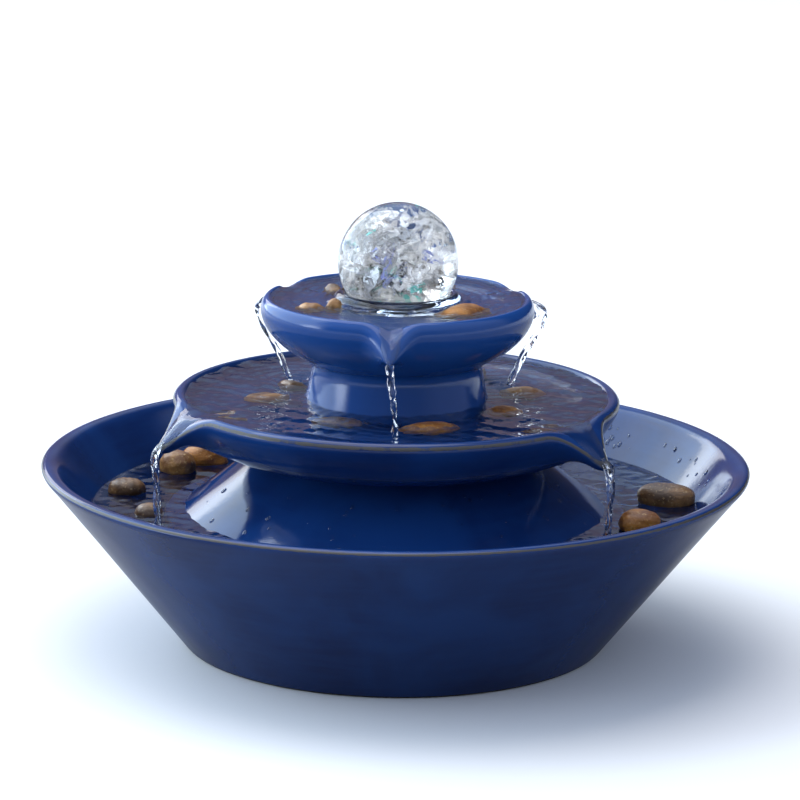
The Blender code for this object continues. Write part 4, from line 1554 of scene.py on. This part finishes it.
@dataclass
class Fountain:
    """Everything above the table, built piece by piece."""

    effects: Effects = field(default_factory=Effects)

    def build(self) -> None:
        """Build the ceramics, the water, the ball, the stones and the pump."""
        glaze = BlueGlaze().build(self.effects)
        self.build_ceramics(glaze)
        self.build_water()
        self.build_ball()
        self.build_stones()
        Pump(self.effects).build()

    def build_ceramics(self, glaze: bpy.types.Material) -> None:
        """Turn the four glazed pieces.

        Args:
            glaze: the glaze on all four.
        """
        Basin(glaze).build()
        PumpCover(glaze).build()
        PouringTray("tray_middle", "middle_tray", "middle_tray", glaze, MIDDLE_SECTION, MIDDLE_SPOUTS,
                    9.75, 0.36, 1.0, 640, 0.0022).build()
        # The upper tray's last value, 0.8, is painted light: its glaze is lifted towards the lighter blue
        # because more light falls on it.
        PouringTray("tray_upper", "upper_tray", "upper_tray", glaze, UPPER_SECTION, UPPER_SPOUTS,
                    8.0, 0.3, 0.0, 600, 0.0020, 0.8).build()

    def build_water(self) -> None:
        """Fill the basin and both trays, and let the water fall from the lips."""
        still = Clear("pool_water", (0.93, 0.96, 1.0), 0.0, 1.333, 0.0002, 130.0, 3.0, 0.6, 0.6).build()
        falling = Clear("falling_water", (1.0, 1.0, 1.0), 0.0, 1.333, 0.0003, 260.0, 3.0, 0.6, 0.6).build()
        self.basin_pool(still).build()
        self.middle_pool(still).build()
        self.upper_pool(still).build()
        Drops("drops_cone", "pump_cover", still, (0.0872, 0.0594), (0.0640, 0.0774), 1.0, (-75.0, 75.0),
              46, 5).build()
        Drops("drops_wall", "basin", still, (0.1318, 0.0624), (0.1375, 0.0697), -1.0, (95.0, 160.0),
              40, 9).build()
        for number, azimuth in enumerate(UPPER_SPOUTS.azimuths):
            first = number == 0
            knots = UPPER_FALL_FRONT if first else UPPER_FALL_BACK
            Stream(f"stream_upper_{number + 1}", "upper_tray", "middle_tray", falling, azimuth, knots,
                   2.5, 0.45 if first else 0.2, 2.2 if first else 0.5, 0.7 + 1.9 * number).build()
        for number, azimuth in enumerate(MIDDLE_SPOUTS.azimuths):
            Stream(f"stream_middle_{number + 1}", "middle_tray", "basin", falling, azimuth, MIDDLE_FALL,
                   3.0, 0.45, 1.8, 0.2 + 2.3 * number).build()
            Stream(f"strand_middle_{number + 1}", "middle_tray", "basin", falling, azimuth, MIDDLE_STRAND,
                   2.0, 0.35, -2.4, 1.7 + 1.3 * number).build()

    @staticmethod
    def basin_pool(water: bpy.types.Material) -> Pool:
        """The basin's water, a disc from the hose to the wall.

        Args:
            water: the water's material.

        Returns:
            The pool, ready to build.
        """
        level = 0.0580
        section = Section((
            (0.0055, 0.0480), (0.0055, level), (0.0150, level), (0.0800, level), (0.1260, level),
            (0.1284, level + 0.0004), (0.1292, level - 0.0002), (0.1240, 0.0512), (0.1010, 0.0222),
            (0.0930, 0.0120), (0.0890, 0.0088), (0.0830, 0.0076), (0.0300, 0.0075), (0.0100, 0.0075)))
        ripples = tuple(Ripple(azimuth, 0.1070, 0.0006, 0.0080, 0.011) for azimuth in MIDDLE_SPOUTS.azimuths)
        return Pool("water_basin", "basin", water, section, (1.0, 5.0), ripples, None, 0.030, 640, 0.0012)

    @staticmethod
    def middle_pool(water: bpy.types.Material) -> Pool:
        """The middle tray's water, with the film that runs over its lips.

        Args:
            water: the water's material.

        Returns:
            The pool, ready to build.
        """
        level = 0.1056
        section = Section(
            ((0.0058, 0.0936), (0.0058, level), (0.0100, level), (0.0450, level), (0.0840, level),
             (0.0885, level + 0.0001), (0.0900, level + 0.0004), (0.0910, level + 0.0005),
             (0.0914, 0.1064), (0.0905, 0.1052), (0.0892, 0.1030), (0.0835, 0.0972),
             (0.0742, 0.0940), (0.0660, 0.0936), (0.0100, 0.0936)),
            ((0.0058, 0.0936), (0.0058, level), (0.0100, level), (0.0450, level), (0.0800, level),
             (0.0870, level - 0.0004), (0.0930, level - 0.0012), (0.0992, level - 0.0046),
             (0.1078, level - 0.0142), (0.1070, 0.0898), (0.1030, 0.0946), (0.0950, 0.1014),
             (0.0880, 0.1024), (0.0720, 0.0945), (0.0100, 0.0936)))
        ripples = tuple(Ripple(azimuth, 0.0500, 0.0006, 0.0058, 0.014) for azimuth in UPPER_SPOUTS.azimuths)
        return Pool("water_middle", "middle_tray", water, section, (2.0, 6.6), ripples, MIDDLE_SPOUTS,
                    0.034, 640, 0.0010)

    @staticmethod
    def upper_pool(water: bpy.types.Material) -> Pool:
        """The upper tray's water: it wells over the seat's edge and runs down the lips.

        Args:
            water: the water's material.

        Returns:
            The pool, ready to build.
        """
        level = 0.1474
        section = Section(
            ((0.0230, 0.1356), (0.0230, 0.1498), (0.0238, 0.1506), (0.0252, 0.1500), (0.0285, level + 0.0004),
             (0.0480, level), (0.0525, level + 0.0001), (0.0535, level + 0.0003), (0.0541, level + 0.0004),
             (0.0543, 0.1474), (0.0537, 0.1466), (0.0533, 0.1445), (0.0524, 0.1410),
             (0.0482, 0.1368), (0.0420, 0.1356)),
            ((0.0230, 0.1356), (0.0230, 0.1498), (0.0238, 0.1506), (0.0252, 0.1500), (0.0285, level + 0.0004),
             (0.0450, level), (0.0505, level - 0.0006), (0.0566, level - 0.0018), (0.0626, level - 0.0058),
             (0.0678, level - 0.0130), (0.0668, 0.1338), (0.0616, 0.1400), (0.0560, 0.1436),
             (0.0488, 0.1415), (0.0420, 0.1356)))
        rings = (Ripple(0.0, 0.0, 0.0015, 0.0042, 0.020),)
        return Pool("water_upper", "upper_tray", water, section, (3.2, 7.4), rings, UPPER_SPOUTS,
                    0.026, 600, 0.0008)

    def build_ball(self) -> None:
        """Make the ball, its cup and the hose that feeds it."""
        glass = Clear("ball_glass", (0.99, 1.0, 1.0), 0.0, 1.46, 0.0003, 60.0).build()
        acrylic = Clear("clear_acrylic", (0.95, 0.97, 0.98), 0.02, 1.49).build()
        vinyl = Clear("clear_vinyl", (0.90, 0.93, 0.94), 0.10, 1.52).build()
        CrackleBall(glass, CrackFlake().build()).build()
        BallSeat(acrylic).build()
        Hose(vinyl).build()

    def build_stones(self) -> None:
        """Lay the stones of both trays and of the basin."""
        finishes = {kind: WetStone(kind).build(self.effects) for kind in Stone}
        orange, tan, brown = Stone.ORANGE, Stone.TAN, Stone.BROWN
        PebbleBed("upper_tray", "pebble_upper", (tan, tan, orange, brown, tan), finishes, 1).build()
        PebbleBed("middle_tray", "pebble_middle", (tan, brown, brown, orange, tan, orange, brown),
                  finishes, 2).build()
        PebbleBed("basin", "pebble_basin", (brown, orange, tan, brown, brown, orange, tan, brown, orange),
                  finishes, 3).build()


def write_sizes() -> None:
    """Update the view layer so that every transform is current."""
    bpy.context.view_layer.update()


def main() -> None:
    """Build the studio and the fountain."""
    logging.basicConfig(level=logging.INFO, format="%(message)s")
    Studio().build()
    Fountain().build()
    write_sizes()


if __name__ == "__main__":
    main()
